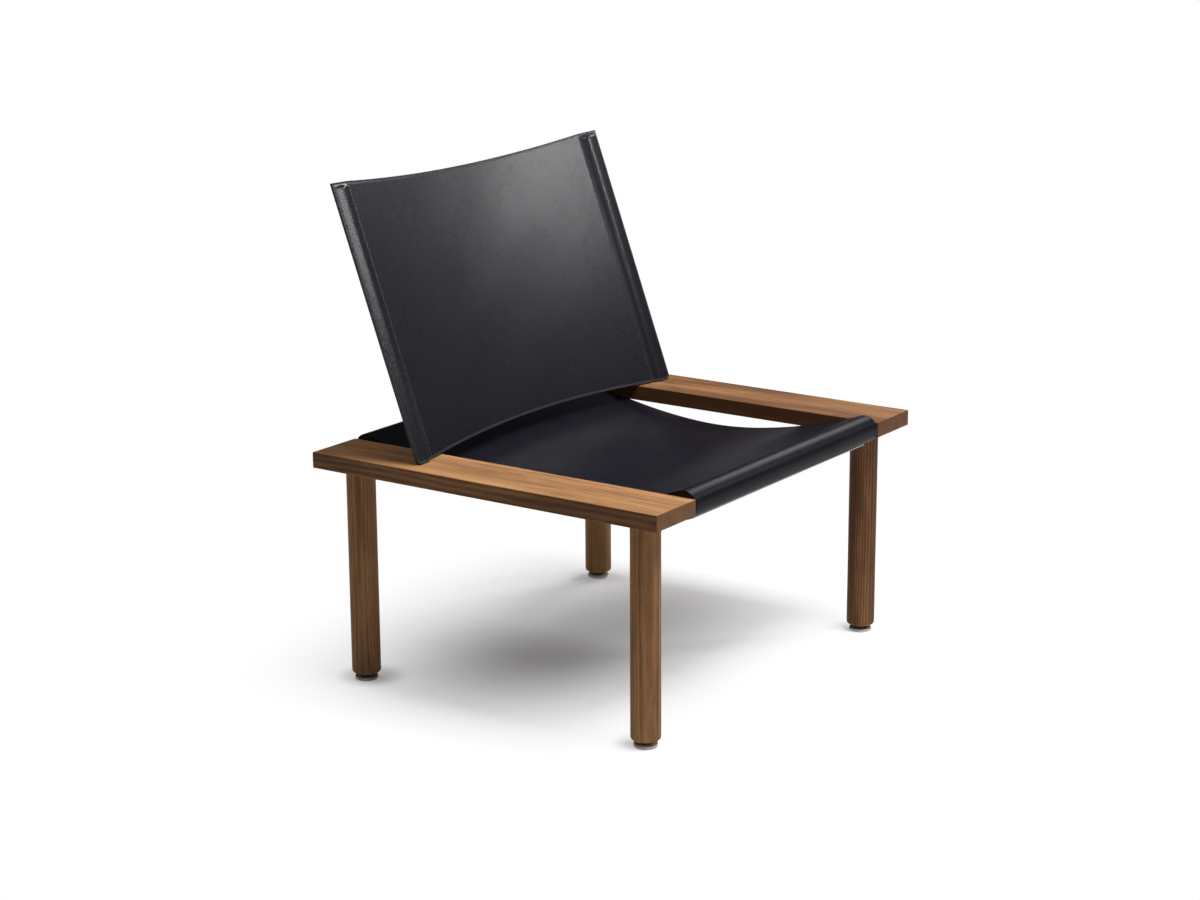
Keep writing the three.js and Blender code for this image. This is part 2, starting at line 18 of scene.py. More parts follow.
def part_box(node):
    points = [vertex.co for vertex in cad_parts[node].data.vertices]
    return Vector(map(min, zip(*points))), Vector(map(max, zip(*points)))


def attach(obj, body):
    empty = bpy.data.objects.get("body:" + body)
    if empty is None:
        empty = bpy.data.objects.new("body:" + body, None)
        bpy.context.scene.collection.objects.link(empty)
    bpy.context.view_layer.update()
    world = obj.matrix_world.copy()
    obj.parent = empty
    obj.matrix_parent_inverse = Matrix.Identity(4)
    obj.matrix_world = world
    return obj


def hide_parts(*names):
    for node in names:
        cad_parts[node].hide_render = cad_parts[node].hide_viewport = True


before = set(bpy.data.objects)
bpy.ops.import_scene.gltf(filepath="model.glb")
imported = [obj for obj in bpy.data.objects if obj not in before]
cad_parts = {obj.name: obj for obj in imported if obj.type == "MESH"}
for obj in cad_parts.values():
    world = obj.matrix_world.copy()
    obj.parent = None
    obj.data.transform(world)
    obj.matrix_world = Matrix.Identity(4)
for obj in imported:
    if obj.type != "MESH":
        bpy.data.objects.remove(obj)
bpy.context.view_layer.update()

LOG = logging.getLogger("lounge_chair")
MM = 0.001
TINY = 1e-5
LEVEL = 0.99
FOUR = range(1, 5)

Colour = tuple[float, float, float]
Place = tuple[float, float, float]
Span = tuple[float, float]
Piece = bpy.types.Object
Material = bpy.types.Material
Link = bpy.types.NodeSocket

WHITE: Colour = (1.0, 1.0, 1.0)


class Spelt(Enum):
    """A choice that the frame's node names spell out."""

    @property
    def word(self) -> str:
        """The choice as the node names spell it."""
        return self.name.lower()


class Side(Spelt):
    """The sitter's sides, each with its sign along X."""

    RIGHT = -1
    LEFT = 1


class End(Spelt):
    """The chair's ends, each with its sign along Y."""

    FRONT = -1
    REAR = 1


class Axis(Enum):
    """The axis that a piece's grain or drawn lines follow, each with its number."""

    X = 0
    Y = 1
    Z = 2


CORNERS = [f"{end.word}_{side.word}" for end in End for side in Side]


class Signal:
    """A socket that carries a number, so that shader maths reads as Python."""

    def __init__(self, nodes: "Nodes", socket: Link) -> None:
        """Wraps an output socket of a node tree."""
        self.nodes = nodes
        self.socket = socket

    def __add__(self, other: "Signal | float") -> "Signal":
        """The sum of two numbers."""
        return self.nodes.maths("ADD", self, other)

    __radd__ = __add__

    def __sub__(self, other: "Signal | float") -> "Signal":
        """The difference of two numbers."""
        return self.nodes.maths("SUBTRACT", self, other)

    def __rsub__(self, other: float) -> "Signal":
        """A plain number less this one."""
        return self.nodes.maths("SUBTRACT", other, self)

    def __mul__(self, other: "Signal | float") -> "Signal":
        """The product of two numbers."""
        return self.nodes.maths("MULTIPLY", self, other)

    __rmul__ = __mul__

    def __truediv__(self, other: "Signal | float") -> "Signal":
        """The quotient of two numbers."""
        return self.nodes.maths("DIVIDE", self, other)

    def __rtruediv__(self, other: float) -> "Signal":
        """A plain number divided by this one."""
        return self.nodes.maths("DIVIDE", other, self)

    def __pow__(self, power: float) -> "Signal":
        """This number raised to a power."""
        return self.nodes.maths("POWER", self, power)

    def sine(self) -> "Signal":
        """The sine of an angle in radians."""
        return self.nodes.maths("SINE", self)

    def size(self) -> "Signal":
        """The number without its sign."""
        return (self * self) ** 0.5

    def distance(self, other: "Signal") -> "Signal":
        """How far the point with these two places lies from zero."""
        return (self * self + other * other) ** 0.5

    def between(self, low: float, high: float) -> "Signal":
        """Nothing before low, one past high, with an easy way between. Low may be the larger one."""
        share = self.nodes.maths("ADD", (self - low) / (high - low), 0.0, clamp=True)
        return share * share * (3.0 - 2.0 * share)


Feed = Signal | Link | float | Sequence[float]


class Nodes:
    """One node tree, with one method that adds any node."""

    def __init__(self, tree: bpy.types.NodeTree) -> None:
        """Starts from an emptied tree."""
        self.tree = tree
        self.tree.nodes.clear()

    @classmethod
    def of_material(cls, name: str) -> tuple["Nodes", Material]:
        """Makes a material, and returns its emptied node tree and itself."""
        material = bpy.data.materials.new(name)
        material.use_nodes = True
        return cls(material.node_tree), material

    def add(self, kind: str, settings: dict | None = None,
            feeds: dict[str, Feed] | None = None) -> bpy.types.Node:
        """Adds a node, sets it up and feeds its sockets.

        Args:
            kind: The node's type.
            settings: The node's own settings, with a ramp's stops under "stops".
            feeds: A value or a link for each input socket, by the socket's identifier.

        Returns:
            The node.
        """
        node = self.tree.nodes.new(kind)
        for name, value in (settings or {}).items():
            if name == "stops":
                self._set_stops(node.color_ramp.elements, value)
            else:
                setattr(node, name, value)
        for name, value in (feeds or {}).items():
            socket = next(s for s in node.inputs if s.identifier == name)
            if isinstance(value, Signal):
                value = value.socket
            if isinstance(value, Link):
                self.tree.links.new(value, socket)
            else:
                socket.default_value = (*value, 1.0) if socket.type == "RGBA" else value
        return node

    @staticmethod
    def _set_stops(elements: bpy.types.bpy_prop_collection, stops: Sequence[tuple[float, Colour]]) -> None:
        """Gives a colour ramp its stops, each a place and a colour."""
        while len(elements) < len(stops):
            elements.new(1.0)
        for element, (place, colour) in zip(elements, stops):
            element.position = place
            element.color = (*colour, 1.0)

    def maths(self, operation: str, first: Signal | float, second: Signal | float = 0.0,
              clamp: bool = False) -> Signal:
        """The result of a Math node, which clamp keeps between nothing and one."""
        settings = {"operation": operation, "use_clamp": clamp}
        node = self.add("ShaderNodeMath", settings, {"Value": first, "Value_001": second})
        return Signal(self, node.outputs[0])

    def place(self) -> Link:
        """The point on the piece, in the frame's own metres."""
        return self.add("ShaderNodeTexCoord").outputs["Object"]

    def split(self, vector: Link) -> list[Signal]:
        """The three numbers of a vector."""
        outputs = self.add("ShaderNodeSeparateXYZ", feeds={"Vector": vector}).outputs
        return [Signal(self, output) for output in outputs]

    def join(self, x: Signal | float, y: Signal | float, z: Signal | float) -> Link:
        """A vector made of three numbers."""
        return self.add("ShaderNodeCombineXYZ", feeds={"X": x, "Y": y, "Z": z}).outputs[0]

    def noise(self, vector: Link, scale: float, detail: float = 2.0, rough: float = 0.5) -> Signal:
        """Soft noise, about one half on average, of which scale blots fit in a metre."""
        feeds = {"Vector": vector, "Scale": scale, "Detail": detail, "Roughness": rough}
        return Signal(self, self.add("ShaderNodeTexNoise", feeds=feeds).outputs[0])

    def cells(self, vector: Link, scale: float, smooth: float) -> Signal:
        """The distance from the middle of a smooth cell, of which scale fit in a metre."""
        feeds = {"Vector": vector, "Scale": scale, "Smoothness": smooth}
        node = self.add("ShaderNodeTexVoronoi", {"feature": "SMOOTH_F1"}, feeds)
        return Signal(self, node.outputs["Distance"])

    def mix(self, share: Signal, first: Colour | Link, second: Colour | Link) -> Link:
        """A colour between two colours, the first where the share is nothing."""
        feeds = {"Factor_Float": share, "A_Color": first, "B_Color": second}
        node = self.add("ShaderNodeMix", {"data_type": "RGBA"}, feeds)
        return next(s for s in node.outputs if s.identifier == "Result_Color")

    def ramp(self, share: Signal, stops: Sequence[tuple[float, Colour]]) -> Link:
        """A colour read from a ramp of stops."""
        return self.add("ShaderNodeValToRGB", {"stops": stops}, {"Fac": share}).outputs[0]

    def bump(self, height: Signal, strength: float, depth: float) -> Link:
        """A surface normal that follows a height, of which one unit stands out by the depth in metres."""
        feeds = {"Height": height, "Strength": strength, "Distance": depth}
        return self.add("ShaderNodeBump", feeds=feeds).outputs[0]

    def blend(self, share: Feed, first: Link, second: Link) -> Link:
        """A shader between two shaders."""
        feeds = {"Fac": share, "Shader": first, "Shader_001": second}
        return self.add("ShaderNodeMixShader", feeds=feeds).outputs[0]


class Finish:
    """A finish whose material is made of nodes."""

    name: str

    def material(self) -> Material:
        """Makes the material, a Principled surface."""
        nodes, material = Nodes.of_material(self.name)
        shader = nodes.add("ShaderNodeBsdfPrincipled", feeds=self.feeds(nodes))
        nodes.add("ShaderNodeOutputMaterial", feeds={"Surface": shader.outputs[0]})
        return material

    def feeds(self, nodes: Nodes) -> dict[str, Feed]:
        """What feeds the surface, by socket. Each finish gives its own."""
        raise NotImplementedError


@dataclass(frozen=True)
class Grain:
    """One layer of noise in wood, drawn out along the grain."""

    fineness: float
    stretch: float
    detail: float
    rough: float = 0.5
    shift: float = 0.0

    def read(self, nodes: Nodes, across: Signal, through: Signal, along: Signal) -> Signal:
        """The layer at a point of the wood, from its three places."""
        drawn = along * self.stretch
        drawn = drawn + self.shift if self.shift else drawn
        return nodes.noise(nodes.join(across, through, drawn), self.fineness, self.detail, self.rough)


@dataclass(frozen=True)
class Walnut(Finish):
    """Oiled walnut, cut from a log whose growth rings circle a heart beside the piece."""

    name: str
    along: Axis
    heart: Span
    ring: float = 0.0052
    sway: float = 0.022
    # Painted light and shade for the whole piece, added to its tone.
    shade: float = 0.0
    middle_across: float = 0.0
    edge_across: float = 10.0
    edge_along: float = 10.0
    deep: Colour = (0.105, 0.043, 0.016)
    dark: Colour = (0.230, 0.107, 0.042)
    middle: Colour = (0.380, 0.190, 0.077)
    pale: Colour = (0.520, 0.285, 0.125)
    pore: Colour = (0.080, 0.034, 0.014)
    stops: tuple[float, ...] = (0.16, 0.38, 0.56, 0.82)
    drift: Grain = Grain(11.0, 0.16, 2.0)
    lean: Grain = Grain(7.0, 0.1, 1.0, shift=5.0)
    bands: Grain = Grain(34.0, 0.10, 3.0, 0.6)
    fibres: Grain = Grain(620.0, 0.045, 3.0, 0.65)
    pores: Grain = Grain(2100.0, 0.035, 1.0)
    open_pores: Span = (0.6, 0.72)
    ring_share: float = 0.18
    band_share: float = 0.8
    fibre_share: float = 0.4
    # How much painted shade darkens the side faces.
    edge_share: float = 0.2
    # How far the end faces darken, partly as end grain and partly as painted shade.
    end_share: float = 0.7
    pore_share: float = 0.45
    roughness: float = 0.50
    fibre_roughness: float = 0.16
    pore_roughness: float = 0.1
    specular: float = 0.2
    bump: float = 0.18
    bump_depth: float = 0.00025

    def feeds(self, nodes: Nodes) -> dict[str, Feed]:
        """Growth rings, broad bands, fine fibres and open pores, with painted shade on the side faces, end
        faces darker partly as end grain and partly as painted shade, and the piece's painted shading added to
        its tone.
        """
        places = nodes.split(nodes.place())
        length = places.pop(self.along.value)
        across, through = places
        aside = across - self.heart[0] + (self.drift.read(nodes, across, through, length) - 0.5) * self.sway
        above = through - self.heart[1] + (self.lean.read(nodes, through, across, length) - 0.5) * self.sway
        rings = (aside.distance(above) * (math.tau / self.ring)).sine() * 0.5 + 0.5
        bands, fibres, pores = (
            grain.read(nodes, across, through, length) for grain in (self.bands, self.fibres, self.pores))
        # The side faces are darker as painted shade, for the light that falls less on them than on the top.
        edge = self._beyond(across - self.middle_across, self.edge_across)
        # The end faces are darker partly as real end grain and partly as painted shade.
        end_grain_and_shade = self._beyond(length, self.edge_along)
        tone = 0.5 + self.shade + (rings - 0.5) * self.ring_share + (bands - 0.5) * self.band_share
        tone = tone + (fibres - 0.5) * self.fibre_share - edge * self.edge_share
        wood = nodes.ramp(tone, list(zip(self.stops, (self.deep, self.dark, self.middle, self.pale))))
        opened = pores.between(*self.open_pores)
        ends_darkened = nodes.mix(end_grain_and_shade * self.end_share, wood, self.deep)
        return {
            "Base Color": nodes.mix(opened * self.pore_share, ends_darkened, self.pore),
            "Roughness": self.roughness + fibres * self.fibre_roughness + opened * self.pore_roughness,
            "Specular IOR Level": self.specular,
            "Normal": nodes.bump(fibres * 0.5 - opened, self.bump, self.bump_depth),
        }

    @staticmethod
    def _beyond(place: Signal, edge: float) -> Signal:
        """One on a face at the edge, to either side, and nothing a millimetre within it."""
        return place.size().between(edge - 1.2 * MM, edge - 0.2 * MM)


@dataclass(frozen=True)
class NearBlackWalnut(Walnut):
    """Walnut coloured nearly black."""

    deep: Colour = (0.006, 0.004, 0.003)
    dark: Colour = (0.012, 0.007, 0.004)
    middle: Colour = (0.020, 0.011, 0.006)
    pale: Colour = (0.028, 0.016, 0.009)
    pore: Colour = (0.004, 0.003, 0.002)


@dataclass(frozen=True)
class SaddleLeather(Finish):
    """Black saddle leather with a fine grain and a clouded, low sheen."""

    name: str
    roughness: float
    specular: float
    deep: Colour = (0.0062, 0.0056, 0.0092)
    worn: Colour = (0.0088, 0.0080, 0.0130)
    pebble: float = 0.0012
    pebble_smooth: float = 0.6
    pebble_roughness: float = 0.02
    pebble_height: float = 0.75
    hairs_per_pebble: float = 4.0
    hair_height: float = 0.35
    cloud: float = 0.055
    cloud_detail: float = 5.0
    cloud_rough: float = 0.62
    worn_clouds: Span = (0.3, 0.72)
    worn_gloss: float = 0.012
    bump: float = 0.04
    bump_depth: float = 0.00020

    def feeds(self, nodes: Nodes) -> dict[str, Feed]:
        """Clouds of wear over fine pebbles and hair pores."""
        place = nodes.place()
        clouds = nodes.noise(place, 1.0 / self.cloud, self.cloud_detail, self.cloud_rough)
        pebbles = nodes.cells(place, 1.0 / self.pebble, self.pebble_smooth)
        hairs = nodes.noise(place, self.hairs_per_pebble / self.pebble)
        worn = clouds.between(*self.worn_clouds)
        height = pebbles * self.pebble_height + hairs * self.hair_height
        return {
            "Base Color": nodes.mix(worn, self.deep, self.worn),
            "Roughness": self.roughness - worn * self.worn_gloss + pebbles * self.pebble_roughness,
            "Specular IOR Level": self.specular,
            "Normal": nodes.bump(height, self.bump, self.bump_depth),
        }


@dataclass(frozen=True)
class FineFibre(Finish):
    """Black fibre in fine blots of two close colours."""

    name: str
    dark: Colour
    pale: Colour
    fineness: float
    detail: float
    rough: float
    blots: Span
    roughness: float
    bump: float
    bump_depth: float
    blot_roughness: float = 0.2

    def feeds(self, nodes: Nodes) -> dict[str, Feed]:
        """One layer of blots for the colour, the gloss and the height."""
        fuzz = nodes.noise(nodes.place(), self.fineness, self.detail, self.rough)
        return {
            "Base Color": nodes.mix(fuzz.between(*self.blots), self.dark, self.pale),
            "Roughness": self.roughness + fuzz * self.blot_roughness,
            "Normal": nodes.bump(fuzz, self.bump, self.bump_depth),
        }


CUT_EDGE = FineFibre(
    "leather_cut_edge", dark=(0.030, 0.029, 0.029), pale=(0.075, 0.072, 0.070), fineness=900.0, detail=4.0,
    rough=0.6, blots=(0.35, 0.68), roughness=0.5, bump=0.3, bump_depth=0.0002)
WAXED_THREAD = FineFibre(
    "waxed_thread", dark=(0.030, 0.030, 0.032), pale=(0.095, 0.094, 0.098), fineness=2600.0, detail=2.0,
    rough=0.5, blots=(0.35, 0.65), roughness=0.42, bump=0.4, bump_depth=0.00015)


@dataclass(frozen=True)
class ZincSteel(Finish):
    """Zinc-plated steel with fine drawn lines."""

    name: str
    along: Axis
    dull: Colour = (0.36, 0.365, 0.37)
    bright: Colour = (0.60, 0.605, 0.61)
    line_fineness: float = 1400.0
    line_stretch: float = 0.03
    line_roughness: float = 0.2
    spangle_fineness: float = 90.0
    detail: float = 3.0
    roughness: float = 0.28
    bump: float = 0.1
    bump_depth: float = 0.0001

    def feeds(self, nodes: Nodes) -> dict[str, Feed]:
        """Drawn lines along the piece, over a soft spangle."""
        place = nodes.place()
        places = nodes.split(place)
        places[self.along.value] *= self.line_stretch
        lines = nodes.noise(nodes.join(*places), self.line_fineness, self.detail)
        spangle = nodes.noise(place, self.spangle_fineness, self.detail)
        return {
            "Base Color": nodes.mix(spangle * 0.5 + lines * 0.5, self.dull, self.bright),
            "Metallic": 1.0,
            "Roughness": self.roughness + lines * self.line_roughness,
            "Normal": nodes.bump(lines, self.bump, self.bump_depth),
        }


@dataclass(frozen=True)
class MouldedPlastic(Finish):
    """Moulded plastic with a fine matt texture and a little scuffing."""

    name: str
    colour: Colour
    scuffed: Colour
    scuff_fineness: float = 240.0
    scuff_detail: float = 4.0
    scuff_rough: float = 0.7
    scuffs: Span = (0.45, 0.75)
    scuff_share: float = 0.7
    scuff_roughness: float = 0.14
    texture_fineness: float = 3200.0
    texture_detail: float = 1.0
    roughness: float = 0.42
    bump: float = 0.12
    bump_depth: float = 0.0001

    def feeds(self, nodes: Nodes) -> dict[str, Feed]:
        """Scuffs for the colour and the gloss, and a matt texture for the height."""
        place = nodes.place()
        scuffs = nodes.noise(place, self.scuff_fineness, self.scuff_detail, self.scuff_rough)
        texture = nodes.noise(place, self.texture_fineness, self.texture_detail)
        worn = scuffs.between(*self.scuffs) * self.scuff_share
        return {
            "Base Color": nodes.mix(worn, self.colour, self.scuffed),
            "Roughness": self.roughness + scuffs * self.scuff_roughness,
            "Normal": nodes.bump(texture, self.bump, self.bump_depth),
        }


class Bench:
    """The steps of modelling by hand, each done with Blender's own operators."""

    @staticmethod
    def clear() -> None:
        """Leaves edit mode and deselects everything."""
        active = bpy.context.view_layer.objects.active
        if active is not None and active.mode != "OBJECT":
            bpy.ops.object.mode_set(mode="OBJECT")
        bpy.ops.object.select_all(action="DESELECT")

    @staticmethod
    def hold(piece: Piece) -> None:
        """Makes a piece the only selected one, and the active one."""
        Bench.clear()
        piece.select_set(True)
        bpy.context.view_layer.objects.active = piece

    @staticmethod
    def settle(piece: Piece) -> Piece:
        """Puts a piece's place, turn and scale into its mesh, and returns it."""
        Bench.hold(piece)
        bpy.ops.object.transform_apply(location=True, rotation=True, scale=True)
        return piece

    @staticmethod
    def named(name: str) -> Piece:
        """Names the piece that was just added, and returns it."""
        piece = bpy.context.view_layer.objects.active
        piece.name = name
        piece.data.name = name
        return piece

    @staticmethod
    def block(name: str, low: Vector, high: Vector, turn: Place = (0.0, 0.0, 0.0)) -> Piece:
        """Adds a block.

        Args:
            name: The piece's name.
            low: Its lowest corner before it is turned.
            high: Its highest corner before it is turned.
            turn: Its turn about its own middle, in radians.

        Returns:
            The block, with its place in its mesh.
        """
        Bench.clear()
        bpy.ops.mesh.primitive_cube_add(size=1.0, location=(low + high) / 2, rotation=turn)
        piece = Bench.named(name)
        piece.scale = high - low
        return Bench.settle(piece)

    @staticmethod
    def rod(name: str, radius: float, start: Vector, end: Vector, sides: int) -> Piece:
        """Adds a round rod between two points.

        Args:
            name: The piece's name.
            radius: The rod's radius.
            start: The middle of its first end.
            end: The middle of its second end.
            sides: How many flats it has.

        Returns:
            The rod, with its place in its mesh.
        """
        Bench.clear()
        turn = (end - start).to_track_quat("Z", "Y").to_euler()
        bpy.ops.mesh.primitive_cylinder_add(vertices=sides, radius=radius, depth=(end - start).length,
                                            location=(start + end) / 2, rotation=turn)
        return Bench.settle(Bench.named(name))

    @staticmethod
    def copy(piece: Piece, name: str, home: str, node: str) -> Piece:
        """Copies a piece, with a mesh of its own, from one frame node's place to another's.

        Args:
            piece: What is copied.
            name: The copy's name.
            home: The node at whose place the piece stands.
            node: The node at whose place the copy stands.

        Returns:
            The copy, with its place in its mesh.
        """
        Bench.hold(piece)
        bpy.ops.object.duplicate(linked=False)
        twin = Bench.named(name)
        twin.location = middle_of(node) - middle_of(home)
        return Bench.settle(twin)

    @staticmethod
    def join(name: str, pieces: Sequence[Piece]) -> Piece:
        """Joins pieces into the first one, which takes the name."""
        Bench.hold(pieces[0])
        for piece in pieces[1:]:
            piece.select_set(True)
        bpy.ops.object.join()
        return Bench.named(name)

    @staticmethod
    @contextmanager
    def editing(piece: Piece, kind: str = "FACE") -> Iterator[None]:
        """Edits a piece's mesh with nothing selected at first.

        Args:
            piece: The piece.
            kind: What is selected: VERT, EDGE or FACE.

        Yields:
            Nothing, while the piece is in edit mode.
        """
        Bench.hold(piece)
        bpy.ops.object.mode_set(mode="EDIT")
        bpy.ops.mesh.select_mode(type=kind)
        bpy.ops.mesh.select_all(action="DESELECT")
        yield
        bpy.ops.object.mode_set(mode="OBJECT")

    @staticmethod
    def pick_level(piece: Piece, height: float, facing: int) -> None:
        """Selects the level faces at a height that face up, 1, or down, -1, and no others."""
        bpy.ops.mesh.select_all(action="DESELECT")
        for face in bmesh.from_edit_mesh(piece.data).faces:
            there = abs(face.calc_center_median().z - height) < TINY
            face.select_set(there and face.normal.z * facing > LEVEL)
        bmesh.update_edit_mesh(piece.data)

    @staticmethod
    def pick_edges(piece: Piece, test: Callable[[Vector, Vector], bool]) -> None:
        """Selects the edges whose two ends pass a test, and no others."""
        bpy.ops.mesh.select_all(action="DESELECT")
        for edge in bmesh.from_edit_mesh(piece.data).edges:
            edge.select_set(test(edge.verts[0].co, edge.verts[1].co))
        bmesh.update_edit_mesh(piece.data)

    @staticmethod
    def pull(distance: float) -> None:
        """Extrudes the selected face straight up, or down where the distance is less than nothing."""
        bpy.ops.mesh.extrude_region_move(TRANSFORM_OT_translate={"value": (0.0, 0.0, distance)})

    @staticmethod
    def bevel(size: float, segments: int, material: int = -1) -> None:
        """Rounds the selected edges, with a material slot's finish or that of the faces beside them."""
        bpy.ops.mesh.bevel(offset=size, segments=segments, profile=0.5, affect="EDGES", material=material)

    @staticmethod
    def round_all(piece: Piece, size: float, segments: int) -> None:
        """Rounds every edge of a block."""
        with Bench.editing(piece, "EDGE"):
            bpy.ops.mesh.select_all(action="SELECT")
            Bench.bevel(size, segments)

    @staticmethod
    def round_rim(piece: Piece, height: float, size: float, segments: int) -> None:
        """Rounds the rim that an upright turned piece has at one height, in a number of segments."""
        with Bench.editing(piece, "EDGE"):
            Bench.pick_edges(piece, lambda a, b: abs(a.z - height) < TINY and abs(b.z - height) < TINY)
            Bench.bevel(size, segments)

    @staticmethod
    def cut_ring(piece: Piece, height: float) -> None:
        """Cuts a level ring of edges into an upright piece, so that shading stays within its part."""
        with Bench.editing(piece, "FACE"):
            bpy.ops.mesh.select_all(action="SELECT")
            bpy.ops.mesh.bisect(plane_co=(0.0, 0.0, height), plane_no=(0.0, 0.0, 1.0))

    @staticmethod
    def modify(piece: Piece, kind: str, **settings: object) -> None:
        """Puts a modifier of a kind, with its settings, on a piece and applies it."""
        Bench.hold(piece)
        bpy.ops.object.modifier_add(type=kind)
        modifier = piece.modifiers[-1]
        for name, value in settings.items():
            setattr(modifier, name, value)
        bpy.ops.object.modifier_apply(modifier=modifier.name)

    @staticmethod
    def carve(piece: Piece, tools: Sequence[Piece]) -> None:
        """Cuts tools out of a piece, and throws the tools away."""
        for tool in tools:
            Bench.modify(piece, "BOOLEAN", operation="DIFFERENCE", solver="EXACT", object=tool)
            bpy.data.objects.remove(tool)

    @staticmethod
    def soften(piece: Piece, degrees: float) -> None:
        """Shades a piece smoothly across edges flatter than an angle."""
        Bench.hold(piece)
        bpy.ops.object.shade_smooth_by_angle(angle=math.radians(degrees))

    @staticmethod
    def dress(piece: Piece, *finishes: Material) -> None:
        """Gives a piece its finishes in place of those it has."""
        piece.data.materials.clear()
        for finish in finishes:
            piece.data.materials.append(finish)

    @staticmethod
    def fit(piece: Piece, slot: str, nodes: Sequence[str], *finishes: Material) -> None:
        """Dresses a piece and makes it part of the chair.

        Args:
            piece: The modelled piece.
            slot: Not used.
            nodes: The frame's nodes that it stands for.
            finishes: Its finishes.
        """
        Bench.dress(piece, *finishes)
        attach(piece, "root")
        if nodes:
            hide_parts(*nodes)
        LOG.info("built %s with %d faces", piece.name, len(piece.data.polygons))


def middle_of(node: str) -> Vector:
    """The middle of a frame node's box."""
    low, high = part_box(node)
    return (low + high) / 2


def steps(*stretches: tuple[float, float, int]) -> list[float]:
    """Places along a line, in stretches that each have even steps.

    Args:
        stretches: A start, an end and a count of steps for each stretch, end to end.

    Returns:
        Every place once, in order.
    """
    places = [stretches[0][0]]
    for start, end, count in stretches:
        places += [start + (end - start) * (i + 1) / count for i in range(count)]
    return places


def run_of(points: Sequence[Vector]) -> float:
    """The length of a line through points."""
    return sum((after - before).length for before, after in zip(points, points[1:]))


@dataclass(frozen=True)
class Upright:
    """The space of a frame node that is round and stands upright."""

    x: float
    y: float
    radius: float
    bottom: float
    top: float

    @classmethod
    def of(cls, node: str) -> "Upright":
        """Reads the space from a node's box."""
        low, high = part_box(node)
        return cls((low.x + high.x) / 2, (low.y + high.y) / 2, (high.x - low.x) / 2, low.z, high.z)

    def at(self, height: float) -> Vector:
        """The point of its axis at a height."""
        return Vector((self.x, self.y, height))

    def rod(self, name: str, bottom: float, top: float, sides: int, gap: float = 0.0) -> Piece:
        """Adds a rod on its axis between two heights, wider than the space by a gap all round."""
        return Bench.rod(name, self.radius + gap, self.at(bottom), self.at(top), sides)


@dataclass
class SideBoards:
    """The two flat arm boards, with the pockets and holes that their fittings need."""

    edge_round: float = 1.2 * MM
    edge_steps: int = 3
    smooth_below: float = 12.0
    fit: float = 0.3 * MM
    past: float = 2 * MM
    post_width: float = 16 * MM
    post_thickness: float = 6 * MM
    slot_reach: float = 60 * MM
    plate_margin: float = 12 * MM
    plate_thickness: float = 5 * MM
    screw_depth: float = 4 * MM
    screw_sides: int = 24
    insert_sides: int = 32
    heart_across: float = 85 * MM
    heart_below: float = 62 * MM
    # Painted shade that darkens the far, left board.
    left_shade: float = 0.18

    def build(self, back: "BackRest") -> None:
        """Builds and dresses both boards, with the back giving the lean and place of the posts."""
        for side in Side:
            self._board(side, back)

    def _board(self, side: Side, back: "BackRest") -> None:
        """Builds one board: a block with softened edges, carved for its fittings."""
        node = f"{side.word}_side_board"
        low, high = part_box(node)
        board = Bench.block(f"{side.word}_arm_board", low, high)
        Bench.round_all(board, self.edge_round, self.edge_steps)
        Bench.carve(board, self._tools(side, back, low.z))
        Bench.soften(board, self.smooth_below)
        middle = middle_of(node)
        heart = (middle.x - side.value * self.heart_across, low.z - self.heart_below)
        # The left board takes the painted shade.
        shade = -self.left_shade if side is Side.LEFT else 0.0
        wood = Walnut(f"walnut_{side.word}_board", Axis.Y, heart, shade=shade, middle_across=middle.x,
                      edge_across=(high.x - low.x) / 2, edge_along=high.y)
        Bench.fit(board, "walnut", [node], wood.material())

    def _tools(self, side: Side, back: "BackRest", underside: float) -> list[Piece]:
        """The shapes to carve out of one board.

        Args:
            side: Which board.
            back: The back, for its posts.
            underside: The height of the board's underside.

        Returns:
            Blocks and rods that stand where the fittings go.
        """
        start = underside - self.past
        head = underside + self.screw_depth
        screws = [f"{side.word}_post_plate_screw_{i}" for i in FOUR]
        places = [middle_of(name) for name in screws]
        margin = Vector((self.plate_margin + self.fit, self.plate_margin + self.fit, 0.0))
        low = Vector((min(p.x for p in places), min(p.y for p in places), start)) - margin
        high = Vector((max(p.x for p in places), max(p.y for p in places), underside)) + margin
        high.z += self.plate_thickness + self.fit
        tools = [Bench.block("plate_pocket", low, high)]
        foot = back.point(side.value * back.post_x, 0.0, 0.0)
        half = Vector((self.post_width / 2 + self.fit, self.post_thickness / 2 + self.fit,
                       self.slot_reach + self.fit))
        turn = Matrix.Rotation(-back.lean, 3, "X") @ Matrix.Rotation(-side.value * back.post_turn, 3, "Z")
        tools.append(Bench.block("post_slot", foot - half, foot + half, turn.to_euler()))
        holes = [(Upright.of(name), head + self.plate_thickness, self.screw_sides) for name in screws]
        for end in End:
            insert = Upright.of(f"{end.word}_{side.word}_leg_insert")
            holes.append((Upright.of(f"{end.word}_{side.word}_tenon_screw"), head, self.screw_sides))
            holes.append((insert, insert.top + self.past, self.insert_sides))
        return tools + [space.rod("hole", start, top, sides, self.fit) for space, top, sides in holes]


